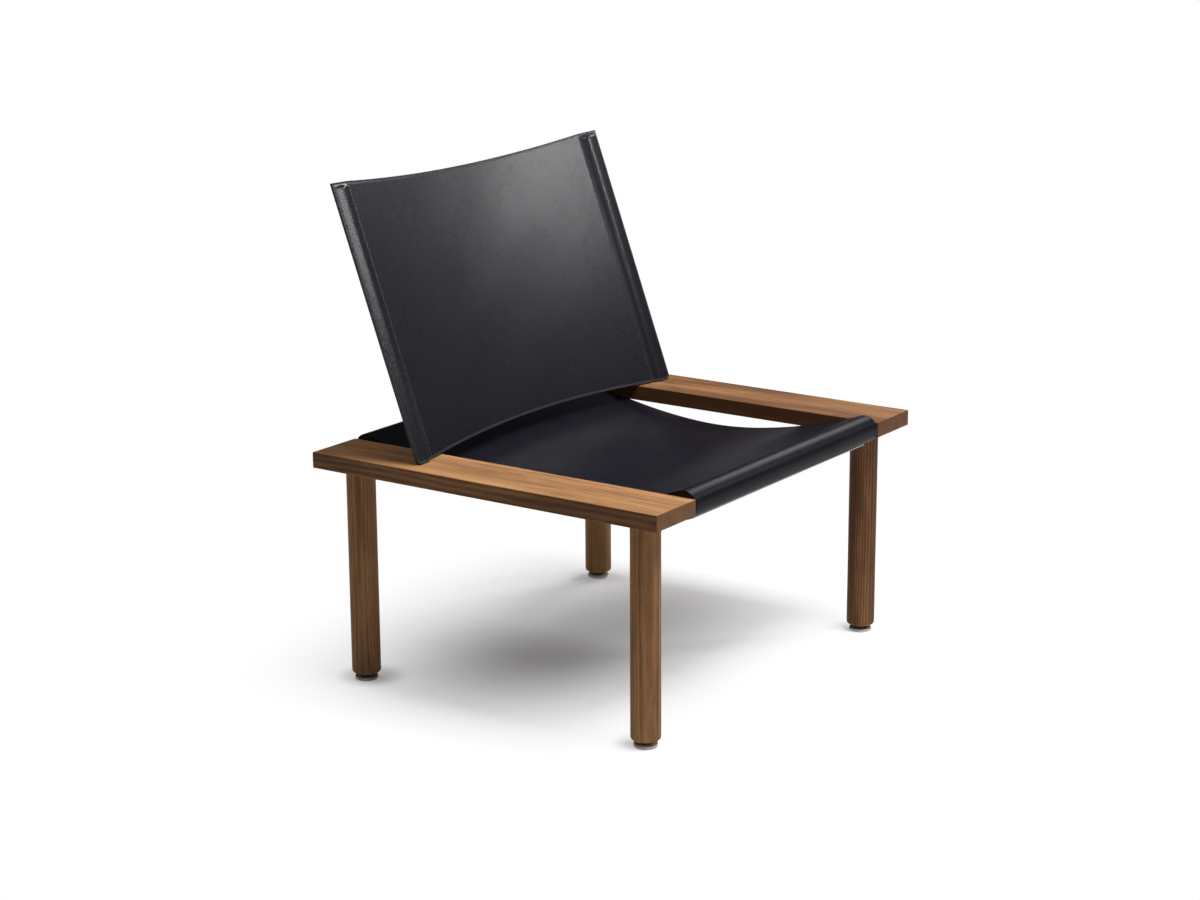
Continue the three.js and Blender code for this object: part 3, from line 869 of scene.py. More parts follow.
@dataclass
class Legs:
    """The four round legs, each with a rounded foot, a pilot hole below and a stud socket above."""

    sides: int = 72
    foot_round: float = 5 * MM
    foot_steps: int = 7
    top_round: float = 0.5 * MM
    top_steps: int = 2
    ring_gap: float = 1 * MM
    smooth_below: float = 30.0
    pilot: float = 5.6 * MM
    pilot_depth: float = 30 * MM
    socket: float = 10.6 * MM
    socket_depth: float = 45.3 * MM
    heart_aside: float = 46 * MM
    heart_start: float = 50.0
    heart_turn: float = 77.0
    ring: float = 4.6 * MM
    sway: float = 0.012
    # Painted shading for each leg in the order of CORNERS: the front left leg darker as painted shade, the
    # rear left leg lighter as painted light.
    painted_shadings: tuple[float, ...] = (0.0, -0.2, 0.0, 0.12)

    def build(self) -> None:
        """Models one leg and copies it to the four corners."""
        home = f"{CORNERS[0]}_leg"
        pattern = self._leg(Upright.of(home))
        for index, corner in enumerate(CORNERS):
            node = f"{corner}_leg"
            leg = Bench.copy(pattern, f"{corner}_round_leg", home, node)
            place = middle_of(node)
            turn = math.radians(self.heart_start + self.heart_turn * index)
            heart = (place.x + self.heart_aside * math.cos(turn), place.y + self.heart_aside * math.sin(turn))
            wood = Walnut(f"walnut_{corner}_leg", Axis.Z, heart, ring=self.ring, sway=self.sway,
                          shade=self.painted_shadings[index])
            Bench.fit(leg, "walnut", [node], wood.material())
        bpy.data.objects.remove(pattern)

    def _leg(self, space: Upright) -> Piece:
        """Turns one leg out of a rod."""
        leg = space.rod("leg_pattern", space.bottom, space.top, self.sides)
        Bench.round_rim(leg, space.bottom, self.foot_round, self.foot_steps)
        Bench.round_rim(leg, space.top, self.top_round, self.top_steps)
        Bench.cut_ring(leg, space.bottom + self.foot_round + self.ring_gap)
        Bench.cut_ring(leg, space.top - self.top_round - self.ring_gap)
        with Bench.editing(leg):
            Bench.pick_level(leg, space.bottom, -1)
            bpy.ops.mesh.inset(thickness=space.radius - self.foot_round - self.pilot / 2)
            Bench.pull(self.pilot_depth)
            Bench.pick_level(leg, space.top, 1)
            bpy.ops.mesh.inset(thickness=space.radius - self.top_round - self.socket / 2)
            Bench.pull(-self.socket_depth)
        Bench.soften(leg, self.smooth_below)
        return leg


@dataclass
class Glides:
    """The feet: a pale disc on the floor below a dark, narrower collar."""

    sides: int = 64
    disc_lower_round: float = 1.5 * MM
    disc_lower_steps: int = 5
    disc_upper_round: float = 0.7 * MM
    collar_round: float = 0.5 * MM
    rim_steps: int = 3
    smooth_below: float = 32.0
    bore: float = 5.6 * MM
    head: float = 10.6 * MM
    head_recess: float = 1 * MM
    # These colours are lighter than the plastic's own, as painted light for the shade the feet stand in.
    pale: Colour = (0.84, 0.83, 0.81)
    pale_scuffed: Colour = (0.70, 0.69, 0.67)
    dark: Colour = (0.095, 0.066, 0.047)
    dark_scuffed: Colour = (0.135, 0.098, 0.073)

    def build(self) -> None:
        """Models one disc and one collar, and copies them to the four legs."""
        home = CORNERS[0]
        disc = self._disc(Upright.of(f"{home}_glide_disc"))
        collar = self._collar(Upright.of(f"{home}_glide_collar"))
        # Both finishes carry that painted light.
        pale = MouldedPlastic("pale_glide_plastic", self.pale, self.pale_scuffed).material()
        dark = MouldedPlastic("dark_collar_plastic", self.dark, self.dark_scuffed).material()
        kinds = [(disc, "glide_disc", "floor_disc", "pale_plastic", pale),
                 (collar, "glide_collar", "foot_collar", "dark_plastic", dark)]
        for corner in CORNERS:
            for pattern, node, name, slot, finish in kinds:
                piece = Bench.copy(pattern, f"{corner}_{name}", f"{home}_{node}", f"{corner}_{node}")
                Bench.fit(piece, slot, [f"{corner}_{node}"], finish)
        bpy.data.objects.remove(disc)
        bpy.data.objects.remove(collar)

    def _disc(self, space: Upright) -> Piece:
        """Turns the disc, with a countersunk hole for its screw."""
        disc = space.rod("disc_pattern", space.bottom, space.top, self.sides)
        Bench.round_rim(disc, space.bottom, self.disc_lower_round, self.disc_lower_steps)
        Bench.round_rim(disc, space.top, self.disc_upper_round, self.rim_steps)
        sink = (self.head - self.bore) / 2
        with Bench.editing(disc):
            Bench.pick_level(disc, space.bottom, -1)
            bpy.ops.mesh.inset(thickness=space.radius - self.disc_lower_round - self.head / 2)
            Bench.pull(self.head_recess)
            bpy.ops.mesh.inset(thickness=sink)
            bpy.ops.transform.translate(value=(0.0, 0.0, sink))
        bottom = space.bottom + self.head_recess + sink
        self._drill(disc, bottom, space.top, space.radius - self.disc_upper_round)
        return disc

    def _collar(self, space: Upright) -> Piece:
        """Turns the collar, with a plain hole for the screw."""
        collar = space.rod("collar_pattern", space.bottom, space.top, self.sides)
        for height in (space.bottom, space.top):
            Bench.round_rim(collar, height, self.collar_round, self.rim_steps)
        flat = space.radius - self.collar_round
        with Bench.editing(collar):
            Bench.pick_level(collar, space.bottom, -1)
            bpy.ops.mesh.inset(thickness=flat - self.bore / 2)
        self._drill(collar, space.bottom, space.top, flat)
        return collar

    def _drill(self, piece: Piece, bottom: float, top: float, rim: float) -> None:
        """Opens the bore from a face of its width at the bottom up through the top.

        Args:
            piece: The turned piece.
            bottom: The height of the bore's lower face, which has the bore's width already.
            top: The height of the piece's top.
            rim: The radius of the flat top.
        """
        with Bench.editing(piece):
            Bench.pick_level(piece, top, 1)
            bpy.ops.mesh.inset(thickness=rim - self.bore / 2)
            for face in bmesh.from_edit_mesh(piece.data).faces:
                middle = face.calc_center_median()
                reach = max((vertex.co - middle).length for vertex in face.verts)
                lower = abs(middle.z - bottom) < TINY and face.normal.z < -LEVEL
                if lower and reach < self.bore / 2 + TINY:
                    face.select_set(True)
            bmesh.update_edit_mesh(piece.data)
            bpy.ops.mesh.bridge_edge_loops()
        Bench.soften(piece, self.smooth_below)


@dataclass
class Screws:
    """Every countersunk screw, each modelled once for its size with a cross in its head."""

    sides: int = 32
    land: float = 0.3 * MM
    shank_share: float = 0.5
    tip_share: float = 0.35
    cross_width: float = 0.9 * MM
    cross_share: float = 0.56
    cross_depth: float = 1.4 * MM
    smooth_below: float = 25.0

    def build(self) -> None:
        """Models the first screw of each size and copies it to every place."""
        steel = ZincSteel("zinc_steel_screws", Axis.Z).material()
        for nodes in (
            [f"{corner}_glide_screw" for corner in CORNERS],
            [f"{corner}_tenon_screw" for corner in CORNERS],
            [f"{end.word}_strip_screw_{i}" for end in End for i in FOUR],
            [f"{side.word}_post_plate_screw_{i}" for side in Side for i in FOUR],
        ):
            pattern = self._screw(Upright.of(nodes[0]))
            for node in nodes:
                screw = Bench.copy(pattern, f"{node}_crosshead", nodes[0], node)
                Bench.fit(screw, "steel", [node], steel)
            bpy.data.objects.remove(pattern)

    def _screw(self, space: Upright) -> Piece:
        """Shapes one screw, head down."""
        rim, shank = space.radius, space.radius * self.shank_share
        screw = space.rod("screw_pattern", space.bottom, space.bottom + self.land, self.sides)
        with Bench.editing(screw):
            Bench.pick_level(screw, space.bottom + self.land, 1)
            Bench.pull(rim - shank - self.land)
            self._narrow(screw, self.shank_share)
            Bench.pull(space.top - space.bottom - rim)
            Bench.pull(shank)
            self._narrow(screw, self.tip_share)
        head, reach = space.at(space.bottom), rim * self.cross_share
        arms = [Vector((reach, self.cross_width / 2, self.cross_depth)),
                Vector((self.cross_width / 2, reach, self.cross_depth))]
        Bench.carve(screw, [Bench.block("cross_arm", head - arm, head + arm) for arm in arms])
        Bench.soften(screw, self.smooth_below)
        return screw

    @staticmethod
    def _narrow(piece: Piece, share: float) -> None:
        """Draws the selected face in towards its own middle, to a share of its width."""
        face = next(f for f in bmesh.from_edit_mesh(piece.data).faces if f.select)
        middle = face.calc_center_median()
        bpy.ops.transform.resize(value=(share, share, 1.0), center_override=middle)


@dataclass
class ClampStrips:
    """The steel strips under the crossbars that hold the seat leather's ends."""

    edge_round: float = 0.6 * MM
    edge_steps: int = 2
    smooth_below: float = 20.0
    fit: float = 0.3 * MM
    past: float = 1 * MM
    hole_sides: int = 24

    def build(self) -> None:
        """Builds and dresses both strips."""
        steel = ZincSteel("zinc_steel_strip", Axis.X).material()
        for end in End:
            node = f"{end.word}_clamp_strip"
            low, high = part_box(node)
            strip = Bench.block(f"{end.word}_leather_clamp", low, high)
            Bench.round_all(strip, self.edge_round, self.edge_steps)
            screws = [Upright.of(f"{end.word}_strip_screw_{i}") for i in FOUR]
            bottom, top = low.z - self.past, high.z + self.past
            holes = [screw.rod("hole", bottom, top, self.hole_sides, self.fit) for screw in screws]
            Bench.carve(strip, holes)
            Bench.soften(strip, self.smooth_below)
            Bench.fit(strip, "steel", [node], steel)


class LeatherCut:
    """A piece of leather laid from its flat cut, with a cut edge all round."""

    sharp_above: float = 60.0
    smooth_below: float = 40.0
    edge_steps: int = 2

    def __init__(self, name: str, columns: Sequence[float], rows: Sequence[float]) -> None:
        """Starts a flat grid.

        Args:
            name: The piece's name.
            columns: Places across the cut.
            rows: Places along the cut.
        """
        self.columns = columns
        self.rows = rows
        self.across, self.along = len(columns) - 1, len(rows) - 1
        Bench.clear()
        bpy.ops.mesh.primitive_grid_add(x_subdivisions=self.across, y_subdivisions=self.along, size=2.0)
        self.piece = Bench.named(name)

    def lay(self, where: Callable[[float, float], Vector]) -> None:
        """Moves every point of the grid to its place.

        Args:
            where: The place of a point, from its column and row.
        """
        for vertex in self.piece.data.vertices:
            column = self.columns[round((vertex.co.x + 1.0) / 2 * self.across)]
            row = self.rows[round((vertex.co.y + 1.0) / 2 * self.along)]
            vertex.co = where(column, row)
        self.piece.data.update()

    def thicken(self, thickness: float, offset: float) -> None:
        """Gives the leather its thickness: behind its face for an offset of -1, both ways for 0."""
        Bench.modify(self.piece, "SOLIDIFY", thickness=thickness, offset=offset, use_even_offset=True,
                     material_offset_rim=1)

    def round_edges(self, size: float) -> None:
        """Softens the cut edges, which have the piece's second finish."""
        with Bench.editing(self.piece, "EDGE"):
            bpy.ops.mesh.edges_select_sharp(sharpness=math.radians(self.sharp_above))
            Bench.bevel(size, self.edge_steps, material=1)
        Bench.soften(self.piece, self.smooth_below)


@dataclass
class SeatSling:
    """The seat: one sheet of leather rolled over both crossbars and clamped below them."""

    thickness: float = 3.5 * MM
    sag: float = 58 * MM
    low_forward: float = 15 * MM
    front_slope: float = 19.0
    rear_slope: float = 16.5
    flat_width: float = 16 * MM
    fit: float = 0.3 * MM
    edge_round: float = 0.7 * MM
    edge_zone: float = 8 * MM
    edge_columns: int = 4
    middle_columns: int = 72
    flat_steps: int = 6
    arc_steps: int = 40
    sag_steps: int = 70
    ripple: float = 0.7 * MM
    ripple_size: float = 150 * MM
    ripple_start: float = 30 * MM
    ripple_rise: float = 120 * MM
    bar_radius: float = 20 * MM
    bar_y: float = field(init=False)
    bar_z: float = field(init=False)

    def __post_init__(self) -> None:
        """Reads the crossbars' places from the frame, from the outer side and top of the rear one."""
        _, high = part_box("rear_crossbar")
        self.bar_y = high.y - self.bar_radius
        self.bar_z = high.z - self.bar_radius

    def _half(self, end: End, slope: float) -> list[Vector]:
        """The middle of the leather from the end below one crossbar to the low point of the seat.

        Args:
            end: Which crossbar.
            slope: How steeply the leather leaves it, in degrees.

        Returns:
            Points in the Y and Z plane.
        """
        tilt = math.radians(slope)
        distance = self.fit + self.thickness / 2
        radius = self.bar_radius + distance
        start = math.asin(self.flat_width / 2 / self.bar_radius)
        flat_z = self.bar_z - self.bar_radius * math.cos(start) - distance
        points = [Vector((0.0, end.value * (self.bar_y + offset), flat_z))
                  for offset in steps((-self.flat_width / 2, self.flat_width / 2, self.flat_steps))]
        for angle in steps((start, math.pi + tilt, self.arc_steps)):
            y = end.value * (self.bar_y + radius * math.sin(angle))
            points.append(Vector((0.0, y, self.bar_z - radius * math.cos(angle))))
        roll_top = self.bar_z + self.bar_radius + self.fit + self.thickness
        low = Vector((0.0, -self.low_forward, roll_top - self.sag - self.thickness / 2))
        leave = points[-1]
        bend = Vector((0.0, leave.y - end.value * (leave.z - low.z) / math.tan(tilt), low.z))
        for share in steps((0.0, 1.0, self.sag_steps))[1:]:
            first = leave.lerp(bend, share)
            points.append(first.lerp(bend.lerp(low, share), share))
        return points

    def line(self) -> list[Vector]:
        """The middle of the leather from its front end to its rear end, in the Y and Z plane."""
        front = self._half(End.FRONT, self.front_slope)
        rear = self._half(End.REAR, self.rear_slope)
        return front + rear[::-1][1:]

    def build(self, leather: Material, edge: Material) -> None:
        """Args:
            leather: The finish of the leather's faces.
            edge: The finish of its cut edges.
        """
        line = self.line()
        run = run_of(line)
        low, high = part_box("seat_sling")
        half = (high.x - low.x) / 2
        inner = half - self.edge_zone
        columns = steps((-half, -inner, self.edge_columns), (-inner, inner, self.middle_columns),
                        (inner, half, self.edge_columns))
        cut = LeatherCut("leather_seat", columns, list(range(len(line))))
        cut.lay(lambda x, row: self._hung(x, line[int(row)]))
        cut.thicken(self.thickness, 0.0)
        cut.round_edges(self.edge_round)
        Bench.fit(cut.piece, "leather", ["seat_sling"], leather, edge)
        LOG.info("the seat is cut %.0f by %.0f mm", 2 * half / MM, run / MM)

    def _hung(self, x: float, point: Vector) -> Vector:
        """A point of the seat, with the slight ripple that leather has where nothing carries it."""
        clear = (self.bar_y - abs(point.y) - self.ripple_start) / self.ripple_rise
        spot = Vector((x, point.y, 0.0)) / self.ripple_size
        wave = self.ripple * max(0.0, min(1.0, clear)) * noise.noise(spot)
        return Vector((x, point.y, point.z + wave))


@dataclass
class BackRest:
    """The back: two layers of leather sewn together round the edge, with a sleeve for each post."""

    lean_degrees: float = 20.35
    length: float = 473 * MM
    foot_inset: float = 195 * MM
    layer: float = 2.2 * MM
    bow: float = 26 * MM
    top_droop: float = 10 * MM
    bottom_arch: float = 18.5 * MM
    lower_corner: float = 10 * MM
    sleeve: float = 38 * MM
    crest_round: float = 8 * MM
    crest_lift: float = 1.25
    flange: float = 8 * MM
    fit: float = 0.3 * MM
    post_thickness: float = 6 * MM
    flank_hollow: float = 0.9
    closing_start: float = 4.5 * MM
    closing: float = 6.5 * MM
    # How far up from the lower edge the painted highlight band reaches.
    hem: float = 4.5 * MM
    edge_round: float = 0.5 * MM
    side_zone: float = 8 * MM
    side_columns: int = 44
    middle_columns: int = 80
    row_zones: tuple[tuple[float, float, int], ...] = ((0.0, 0.02, 6), (0.02, 0.93, 108), (0.93, 1.0, 26))
    seam_inset: float = 3.2 * MM
    seam_start: float = 4 * MM
    seam_groove: float = 0.25 * MM
    seam_groove_width: float = 2.2 * MM
    seam_steps: int = 120
    edge_steps: int = 200
    ripple: float = 0.5 * MM
    ripple_size: float = 130 * MM
    ripple_layer: float = 7.0
    stitch: float = 4.7 * MM
    stitch_pitch: float = 6.0 * MM
    thread_radius: float = 0.45 * MM
    thread_proud: float = 0.35
    thread_sides: int = 6
    thread_round: float = 0.7
    thread_steps: int = 2
    thread_smooth_below: float = 60.0
    post_x: float = field(init=False)
    seam_x: float = field(init=False)
    half_width: float = field(init=False)
    half_depth: float = field(init=False)
    lean: float = field(init=False)
    post_turn: float = field(init=False)
    foot: Vector = field(init=False)
    rear: Vector = field(init=False)
    up: Vector = field(init=False)

    def __post_init__(self) -> None:
        """Works out the back's place from the frame and its own sizes."""
        low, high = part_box("left_side_board")
        self.post_x = (low.x + high.x) / 2
        self.seam_x = self.post_x - self.sleeve / 2
        self.half_width = self.post_x + self.sleeve / 2 + self.flange
        self.half_depth = self.post_thickness / 2 + self.fit + self.layer
        self.lean = math.radians(self.lean_degrees)
        self.post_turn = math.atan(2 * self.bow / self.post_x)
        foot_z = high.z + self.fit + self.half_depth * math.sin(self.lean)
        self.foot = Vector((0.0, high.y - self.foot_inset, foot_z))
        self.rear = Vector((0.0, math.cos(self.lean), -math.sin(self.lean)))
        self.up = Vector((0.0, math.sin(self.lean), math.cos(self.lean)))

    def point(self, x: float, depth: float, height: float) -> Vector:
        """The place of a point of the back, from its places across, to the rear and up the posts."""
        return self.foot + Vector((x, 0.0, 0.0)) + self.rear * depth + self.up * height

    def middle(self, x: float) -> float:
        """One at the middle of the back, nothing at the inner seams and beyond."""
        return max(0.0, 1.0 - (x / self.seam_x) ** 2)

    def curve(self, x: float) -> float:
        """How far the back bows to the rear between the posts, or forward beyond them."""
        return self.bow * (1.0 - (x / self.post_x) ** 2)

    def bottom(self, x: float, depth: float) -> float:
        """The height of the lower edge: level on the boards, arched between the seams, with round corners.

        Args:
            x: The place across.
            depth: How far the edge lies behind the middle of the leather.

        Returns:
            The height up the posts.
        """
        level = math.tan(self.lean) * (self.curve(max(abs(x), self.seam_x)) + depth - self.half_depth)
        past = max(0.0, abs(x) - self.half_width + self.lower_corner)
        corner = self.lower_corner - math.sqrt(max(0.0, self.lower_corner ** 2 - past ** 2))
        return level + corner + self.bottom_arch * self.middle(x)

    def top(self, x: float) -> float:
        """The height of the upper edge."""
        return self.length - self.top_droop * self.middle(x)

    @staticmethod
    def ease(share: float) -> float:
        """Nothing at zero, one at one and beyond, with an easy start and end."""
        return (1.0 - math.cos(math.pi * max(0.0, min(1.0, share)))) / 2

    def half_space(self, x: float, height: float) -> float:
        """Half the space between the layers.

        Each sleeve is drawn straight from the outer edge, and in a hollow line from its inner seam, to a
        rounded crest over the post, and closed above the post.

        Args:
            x: The place across.
            height: The height up the posts.

        Returns:
            The space between the middle of the back and one layer's inner face.
        """
        across = abs(x) - self.post_x
        reach = math.hypot(self.sleeve / 2 + (self.flange if across > 0.0 else 0.0), self.crest_round)
        risen = max(0.0, (reach - math.hypot(across, self.crest_round)) / (reach - self.crest_round))
        if across < 0.0:
            risen *= 1.0 - self.flank_hollow * (1.0 - risen)
        from_top = self.ease((self.length - self.closing_start - height) / self.closing)
        opened = self.crest_lift * risen * from_top
        return self.fit / 2 + (self.post_thickness / 2 + self.fit / 2) * opened

    def face(self, end: End, x: float, height: float) -> Vector:
        """A point on the outer face of one layer."""
        spot = Vector((x, height, self.ripple_layer)) / self.ripple_size
        wave = self.ripple * self.middle(x) * noise.noise(spot)
        depth = self.curve(x) + wave + end.value * (self.half_space(x, height) + self.layer)
        return self.point(x, depth, height)

    def edge_height(self, end: End, x: float) -> float:
        """The height of one layer's lower edge, where its rear face clears the board."""
        depth = self.half_space(x, 0.0)
        return self.bottom(x, depth + self.layer if end is End.REAR else -depth)

    def build(self, leather: Material, edge: Material, hem: Material,
              thread: Material) -> None:
        """Args:
            leather: The finish of the leather's faces.
            edge: The finish of its cut edges.
            hem: The finish of the band along the lower edge, a lighter leather that paints in a highlight
                along that edge.
            thread: The finish of the stitches.
        """
        width = 2 * self.half_width
        places = steps((-self.half_width, self.half_width, self.edge_steps))
        area = sum(self.top(x) - self.bottom(x, 0.0) for x in places) * width / len(places)
        for end in End:
            piece = self._layer(end)
            Bench.fit(piece, "leather", [f"back_{end.word}_leather"], leather, edge, hem)
            self._mark_hem(piece, end)
            rows = [self._sewn(end, seam) for seam in self._seams(end)]
            stitches = Bench.join(f"back_{end.word}_stitching", rows)
            Bench.fit(stitches, "leather", [], thread)

    def _layer(self, end: End) -> Piece:
        """Lays one layer of leather from its flat cut."""
        inner = self.seam_x - self.side_zone
        columns = steps((-self.half_width, -inner, self.side_columns), (-inner, inner, self.middle_columns),
                        (inner, self.half_width, self.side_columns))
        cut = LeatherCut(f"back_{end.word}_layer", columns, steps(*self.row_zones))
        cut.lay(lambda x, share: self._at_share(end, x, share))
        with Bench.editing(cut.piece):
            bpy.ops.mesh.select_all(action="SELECT")
            bpy.ops.mesh.normals_make_consistent(inside=False)
            mesh = bmesh.from_edit_mesh(cut.piece.data)
            mesh.faces.ensure_lookup_table()
            if mesh.faces[0].normal.dot(self.rear * end.value) < 0.0:
                bpy.ops.mesh.flip_normals()
        outer = len(cut.piece.data.vertices)
        cut.thicken(self.layer, -1.0)
        self._press_seams(cut.piece, outer, end)
        cut.round_edges(self.edge_round)
        return cut.piece

    def _mark_hem(self, piece: Piece, end: End) -> None:
        """Gives the band along a layer's lower edge the third finish of the piece, a lighter leather as a
        painted highlight.
        """
        for face in piece.data.polygons:
            height = (face.center - self.foot).dot(self.up) - self.edge_height(end, face.center.x)
            if face.material_index == 0 and height < self.hem:
                face.material_index = 2

    def _at_share(self, end: End, x: float, share: float) -> Vector:
        """A point on one layer's outer face, at a share of the way from its lower to its upper edge."""
        low = self.edge_height(end, x)
        return self.face(end, x, low + (self.top(x) - low) * share)

    def _press_seams(self, piece: Piece, outer: int, end: End) -> None:
        """Presses the outer face in along the seams, where the thread draws it down.

        Args:
            piece: The thickened layer.
            outer: How many of its points, the first ones, lie on the outer face.
            end: Which layer it is.
        """
        inward = self.rear * -end.value
        for vertex in piece.data.vertices[:outer]:
            x = abs(vertex.co.x)
            height = (vertex.co - self.foot).dot(self.up)
            side = min(abs(x - self.seam_x), abs(x - self.half_width + self.seam_inset))
            above = abs(self.top(x) - self.seam_inset - height)
            near = self.ease(1.0 - min(side, above) / self.seam_groove_width)
            vertex.co += inward * self.seam_groove * near

    def _seams(self, end: End) -> list[list[Span]]:
        """The seams of one layer: both flanges, both inner sides of the sleeves and the upper edge.

        Args:
            end: Which layer.

        Returns:
            For each seam, its places across and up the back, in order.
        """
        lines = []
        flange_x = self.half_width - self.seam_inset
        for side in Side:
            for x in (flange_x, self.seam_x):
                low, high = self.edge_height(end, x) + self.seam_start, self.top(x) - self.seam_inset
                lines.append([(side.value * x, height) for height in steps((low, high, self.seam_steps))])
        across = steps((-flange_x, flange_x, self.edge_steps))
        lines.append([(x, self.top(x) - self.seam_inset) for x in across])
        return lines

    def _sewn(self, end: End, seam: Sequence[Span]) -> Piece:
        """Models one stitch and repeats it along a seam.

        Args:
            end: Which layer is sewn.
            seam: The seam's places across and up the back.

        Returns:
            The row of stitches.
        """
        sink = self.rear * -end.value * (self.seam_groove - self.thread_radius * self.thread_proud)
        path = [self.face(end, x, height) + sink for x, height in seam]
        curve = bpy.data.curves.new("seam_path", "CURVE")
        curve.dimensions = "3D"
        spline = curve.splines.new("POLY")
        spline.points.add(len(path) - 1)
        for point, place in zip(spline.points, path):
            point.co = (*place, 1.0)
        guide = bpy.data.objects.new("seam_path", curve)
        bpy.context.scene.collection.objects.link(guide)
        start = Vector(((self.stitch_pitch - self.stitch) / 2, 0.0, 0.0))
        finish = start + Vector((self.stitch, 0.0, 0.0))
        row = Bench.rod("stitch_row", self.thread_radius, start, finish, self.thread_sides)
        with Bench.editing(row, "EDGE"):
            Bench.pick_edges(row, lambda a, b: abs(a.x - b.x) < TINY)
            Bench.bevel(self.thread_radius * self.thread_round, self.thread_steps)
        Bench.soften(row, self.thread_smooth_below)
        Bench.modify(row, "ARRAY", count=int(run_of(path) / self.stitch_pitch), use_relative_offset=False,
                     use_constant_offset=True, constant_offset_displace=(self.stitch_pitch, 0.0, 0.0))
        Bench.modify(row, "CURVE", object=guide)
        bpy.data.objects.remove(guide)
        return row


@dataclass
class HiddenFittings:
    """The frame nodes that stay as they are and only get a finish."""

    heart_beyond: float = 60 * MM
    heart_below: float = 40 * MM

    def build(self) -> None:
        """Dresses the crossbars, posts, studs and inserts."""
        for end in End:
            node = f"{end.word}_crossbar"
            middle = middle_of(node)
            heart = (middle.y + end.value * self.heart_beyond, middle.z - self.heart_below)
            # The crossbars are coloured nearly black, which keeps them dark where they show in the narrow
            # gaps beside the seat.
            self._finish(node, NearBlackWalnut(f"dark_stained_{node}", Axis.X, heart).material())
        drawn = ZincSteel("zinc_steel_fittings", Axis.Z).material()
        plated = ZincSteel("zinc_steel_posts", Axis.Z).material()
        for side in Side:
            self._finish(f"{side.word}_back_post", plated)
        for corner in CORNERS:
            self._finish(f"{corner}_leg_stud", drawn)
            self._finish(f"{corner}_leg_insert", drawn)

    @staticmethod
    def _finish(node: str, finish: Material) -> None:
        """Gives one frame node a finish."""
        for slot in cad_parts[node].material_slots:
            slot.material = finish
        LOG.info("dressed %s", node)


@dataclass(frozen=True)
class SoftBox:
    """One soft rectangular lamp."""

    name: str
    place: Place
    aim: Place
    width: float
    height: float
    power: float

    def hang(self) -> None:
        """Hangs the lamp and turns it to what it lights."""
        place = Vector(self.place)
        turn = (Vector(self.aim) - place).to_track_quat("-Z", "Y").to_euler()
        Bench.clear()
        bpy.ops.object.light_add(type="AREA", location=place, rotation=turn)
        lamp = bpy.context.view_layer.objects.active
        lamp.name = self.name
        lamp.data.shape = "RECTANGLE"
        lamp.data.size = self.width
        lamp.data.size_y = self.height
        lamp.data.energy = self.power
        lamp.visible_camera = False


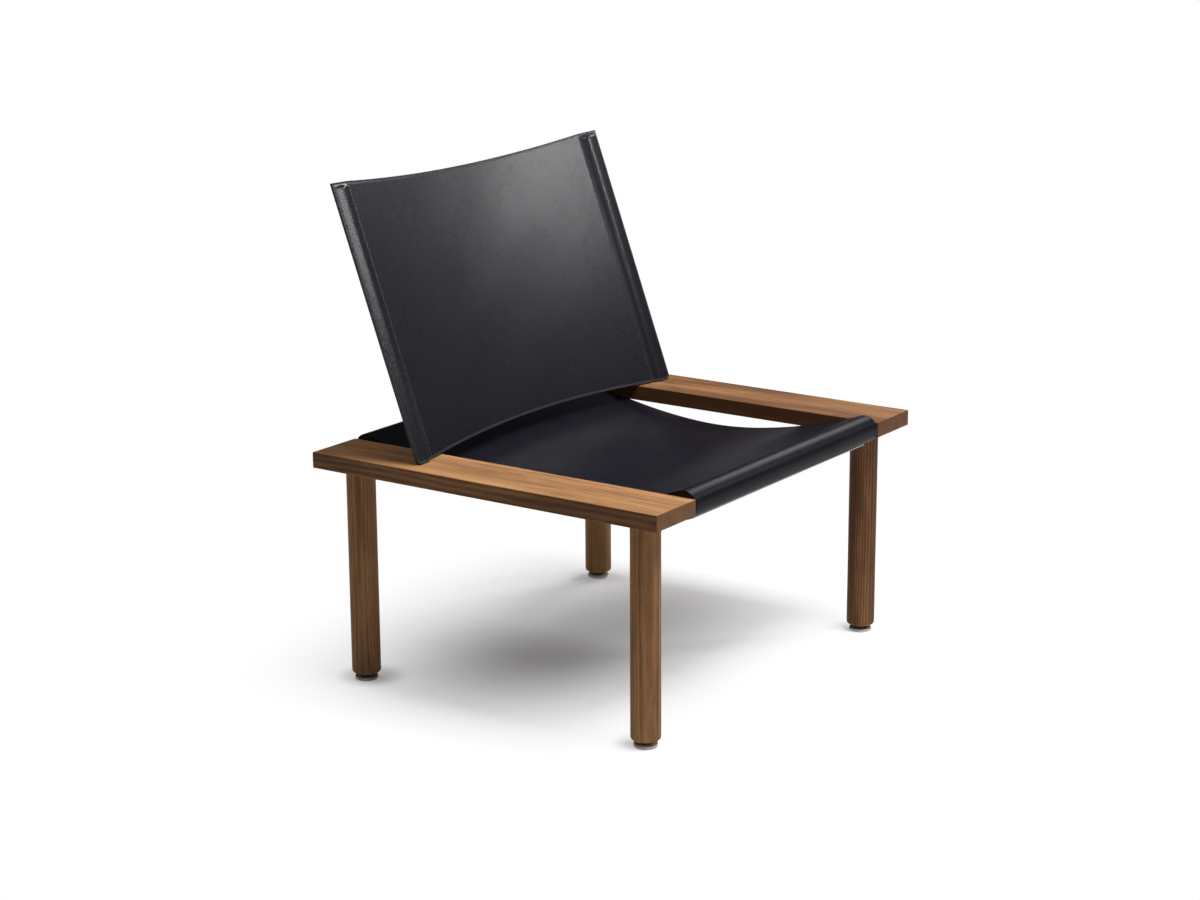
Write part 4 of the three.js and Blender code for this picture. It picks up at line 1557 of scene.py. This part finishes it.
@dataclass
class Studio:
    """The pale floor, the soft lamps, the world and the camera."""

    floor_size: float = 60.0
    floor_pale: float = 1.25
    floor_bounce: float = 0.72
    shadow_lift: float = 0.03
    shadow_middle: Span = (0.113, 0.124)
    shadow_narrow: float = 1.885
    shadow_fade: Span = (0.047, 0.937)
    foot_place: Span = (0.333, 0.285)
    foot_fade: Span = (0.07, 0.07 / 3)
    foot_shade_share: float = 0.55
    world_fill: float = 0.04
    camera_place: Place = (-3.565, -2.439, 1.506)
    camera_turn: float = -55.19
    camera_rise: float = 14.79
    camera_roll: float = 0.33
    camera_sight: float = 100.0
    lens_pixels: float = 2614.2
    image_width: float = 1200.0
    sensor: float = 36.0
    lamps: tuple[SoftBox, ...] = (
        SoftBox("overhead_softbox", (0.0, -0.95, 2.5), (0.0, 0.0, 0.4), 1.25, 1.1, 72.0),
        SoftBox("rear_overhead_softbox", (-0.3, 1.0, 2.7), (0.0, 0.1, 0.4), 2.6, 1.8, 20.0),
        SoftBox("left_front_strip", (2.22, -1.73, 1.92), (0.05, 0.25, 0.65), 0.22, 0.67, 10.0),
        SoftBox("front_softbox", (1.15, -2.0, 1.6), (0.33, 0.25, 0.65), 0.8, 0.35, 1.8),
        SoftBox("left_side_strip", (1.92, 0.02, 1.70), (0.0, -0.32, 0.4), 0.9, 0.4, 13.0),
    )

    def build(self) -> None:
        """Sets the whole studio up."""
        self._floor()
        self._world()
        for lamp in self.lamps:
            lamp.hang()
        self._camera()
        bpy.context.scene.view_settings.view_transform = "Standard"

    @staticmethod
    def _seen(nodes: Nodes) -> Signal:
        """One for rays from the camera, from a gloss or through glass, nothing for the rest."""
        rays = nodes.add("ShaderNodeLightPath").outputs
        seen = Signal(nodes, rays["Is Camera Ray"]) + Signal(nodes, rays["Is Glossy Ray"])
        return nodes.maths("ADD", seen, Signal(nodes, rays["Is Transmission Ray"]), clamp=True)

    def _clear_of_shade(self, nodes: Nodes) -> Signal:
        """How much white is painted over the floor's lit shading: all of it well outside a stretched ellipse
        round the chair, a little even beneath the chair, and less beside the feet, so that the chair's shadow
        shows only close under it.
        """
        x, y, _ = nodes.split(nodes.place())
        right, back = x - self.shadow_middle[0], (y - self.shadow_middle[1]) * self.shadow_narrow
        away = right.distance(back).between(*self.shadow_fade)
        away = away * (1.0 - self.shadow_lift) + self.shadow_lift
        beside, behind = x.size() - self.foot_place[0], y.size() - self.foot_place[1]
        by_foot = beside.distance(behind).between(*self.foot_fade)
        return away * (1.0 - by_foot * self.foot_shade_share)

    def _floor(self) -> None:
        """Lays the floor: lit and shaded beneath the chair and painted white away from it for the eye, pale
        to the light, clear from below.
        """
        Bench.clear()
        bpy.ops.mesh.primitive_plane_add(size=self.floor_size)
        floor = Bench.named("studio_floor")
        nodes, material = Nodes.of_material("studio_floor")
        lit, dull = (nodes.add("ShaderNodeBsdfDiffuse", feeds={"Color": [value] * 3}).outputs[0]
                     for value in (self.floor_pale, self.floor_bounce))
        white = nodes.add("ShaderNodeEmission", feeds={"Color": WHITE}).outputs[0]
        clear = nodes.add("ShaderNodeBsdfTransparent").outputs[0]
        below = nodes.add("ShaderNodeNewGeometry").outputs["Backfacing"]
        shown = nodes.blend(self._clear_of_shade(nodes), lit, white)
        top = nodes.blend(self._seen(nodes), dull, shown)
        nodes.add("ShaderNodeOutputMaterial", feeds={"Surface": nodes.blend(below, top, clear)})
        Bench.dress(floor, material)

    def _world(self) -> None:
        """Makes the world a weak, even fill."""
        world = bpy.data.worlds.new("studio_world")
        world.use_nodes = True
        bpy.context.scene.world = world
        nodes = Nodes(world.node_tree)
        shader = nodes.add("ShaderNodeBackground", feeds={"Color": WHITE, "Strength": self.world_fill})
        nodes.add("ShaderNodeOutputWorld", feeds={"Surface": shader.outputs[0]})

    def _camera(self) -> None:
        """Sets the camera where the photograph was taken from."""
        turn, rise, roll = (math.radians(a) for a in (self.camera_turn, self.camera_rise, self.camera_roll))
        back = Vector((math.sin(turn) * math.cos(rise), -math.cos(turn) * math.cos(rise), math.sin(rise)))
        right = Vector((math.cos(turn), math.sin(turn), 0.0))
        axes = Matrix((right, back.cross(right), back)).transposed()
        tilted = axes @ Matrix.Rotation(-roll, 3, "Z")
        Bench.clear()
        bpy.ops.object.camera_add(location=self.camera_place, rotation=tilted.to_euler())
        camera = bpy.context.view_layer.objects.active
        camera.data.sensor_width = self.sensor
        camera.data.lens = self.lens_pixels * self.sensor / self.image_width
        camera.data.clip_end = self.camera_sight
        bpy.context.scene.camera = camera


def main() -> None:
    """Builds the studio and every part of the chair, in order."""
    logging.basicConfig(level=logging.INFO, format="%(name)s: %(message)s")
    Studio().build()
    seat_leather = SaddleLeather("black_seat_leather", roughness=0.38, specular=0.07).material()
    back_leather = SaddleLeather("black_back_leather", roughness=0.265, specular=0.45).material()
    # A lighter leather for the band along the back's lower edge, as a painted highlight.
    hem = SaddleLeather("black_hem_leather", roughness=0.34, specular=0.4, deep=(0.021, 0.020, 0.023),
                        worn=(0.030, 0.029, 0.033)).material()
    edge = CUT_EDGE.material()
    back = BackRest()
    SideBoards().build(back)
    Legs().build()
    Glides().build()
    Screws().build()
    ClampStrips().build()
    SeatSling().build(seat_leather, edge)
    back.build(back_leather, edge, hem, WAXED_THREAD.material())
    HiddenFittings().build()
    Bench.clear()


if __name__ == "__main__":
    main()
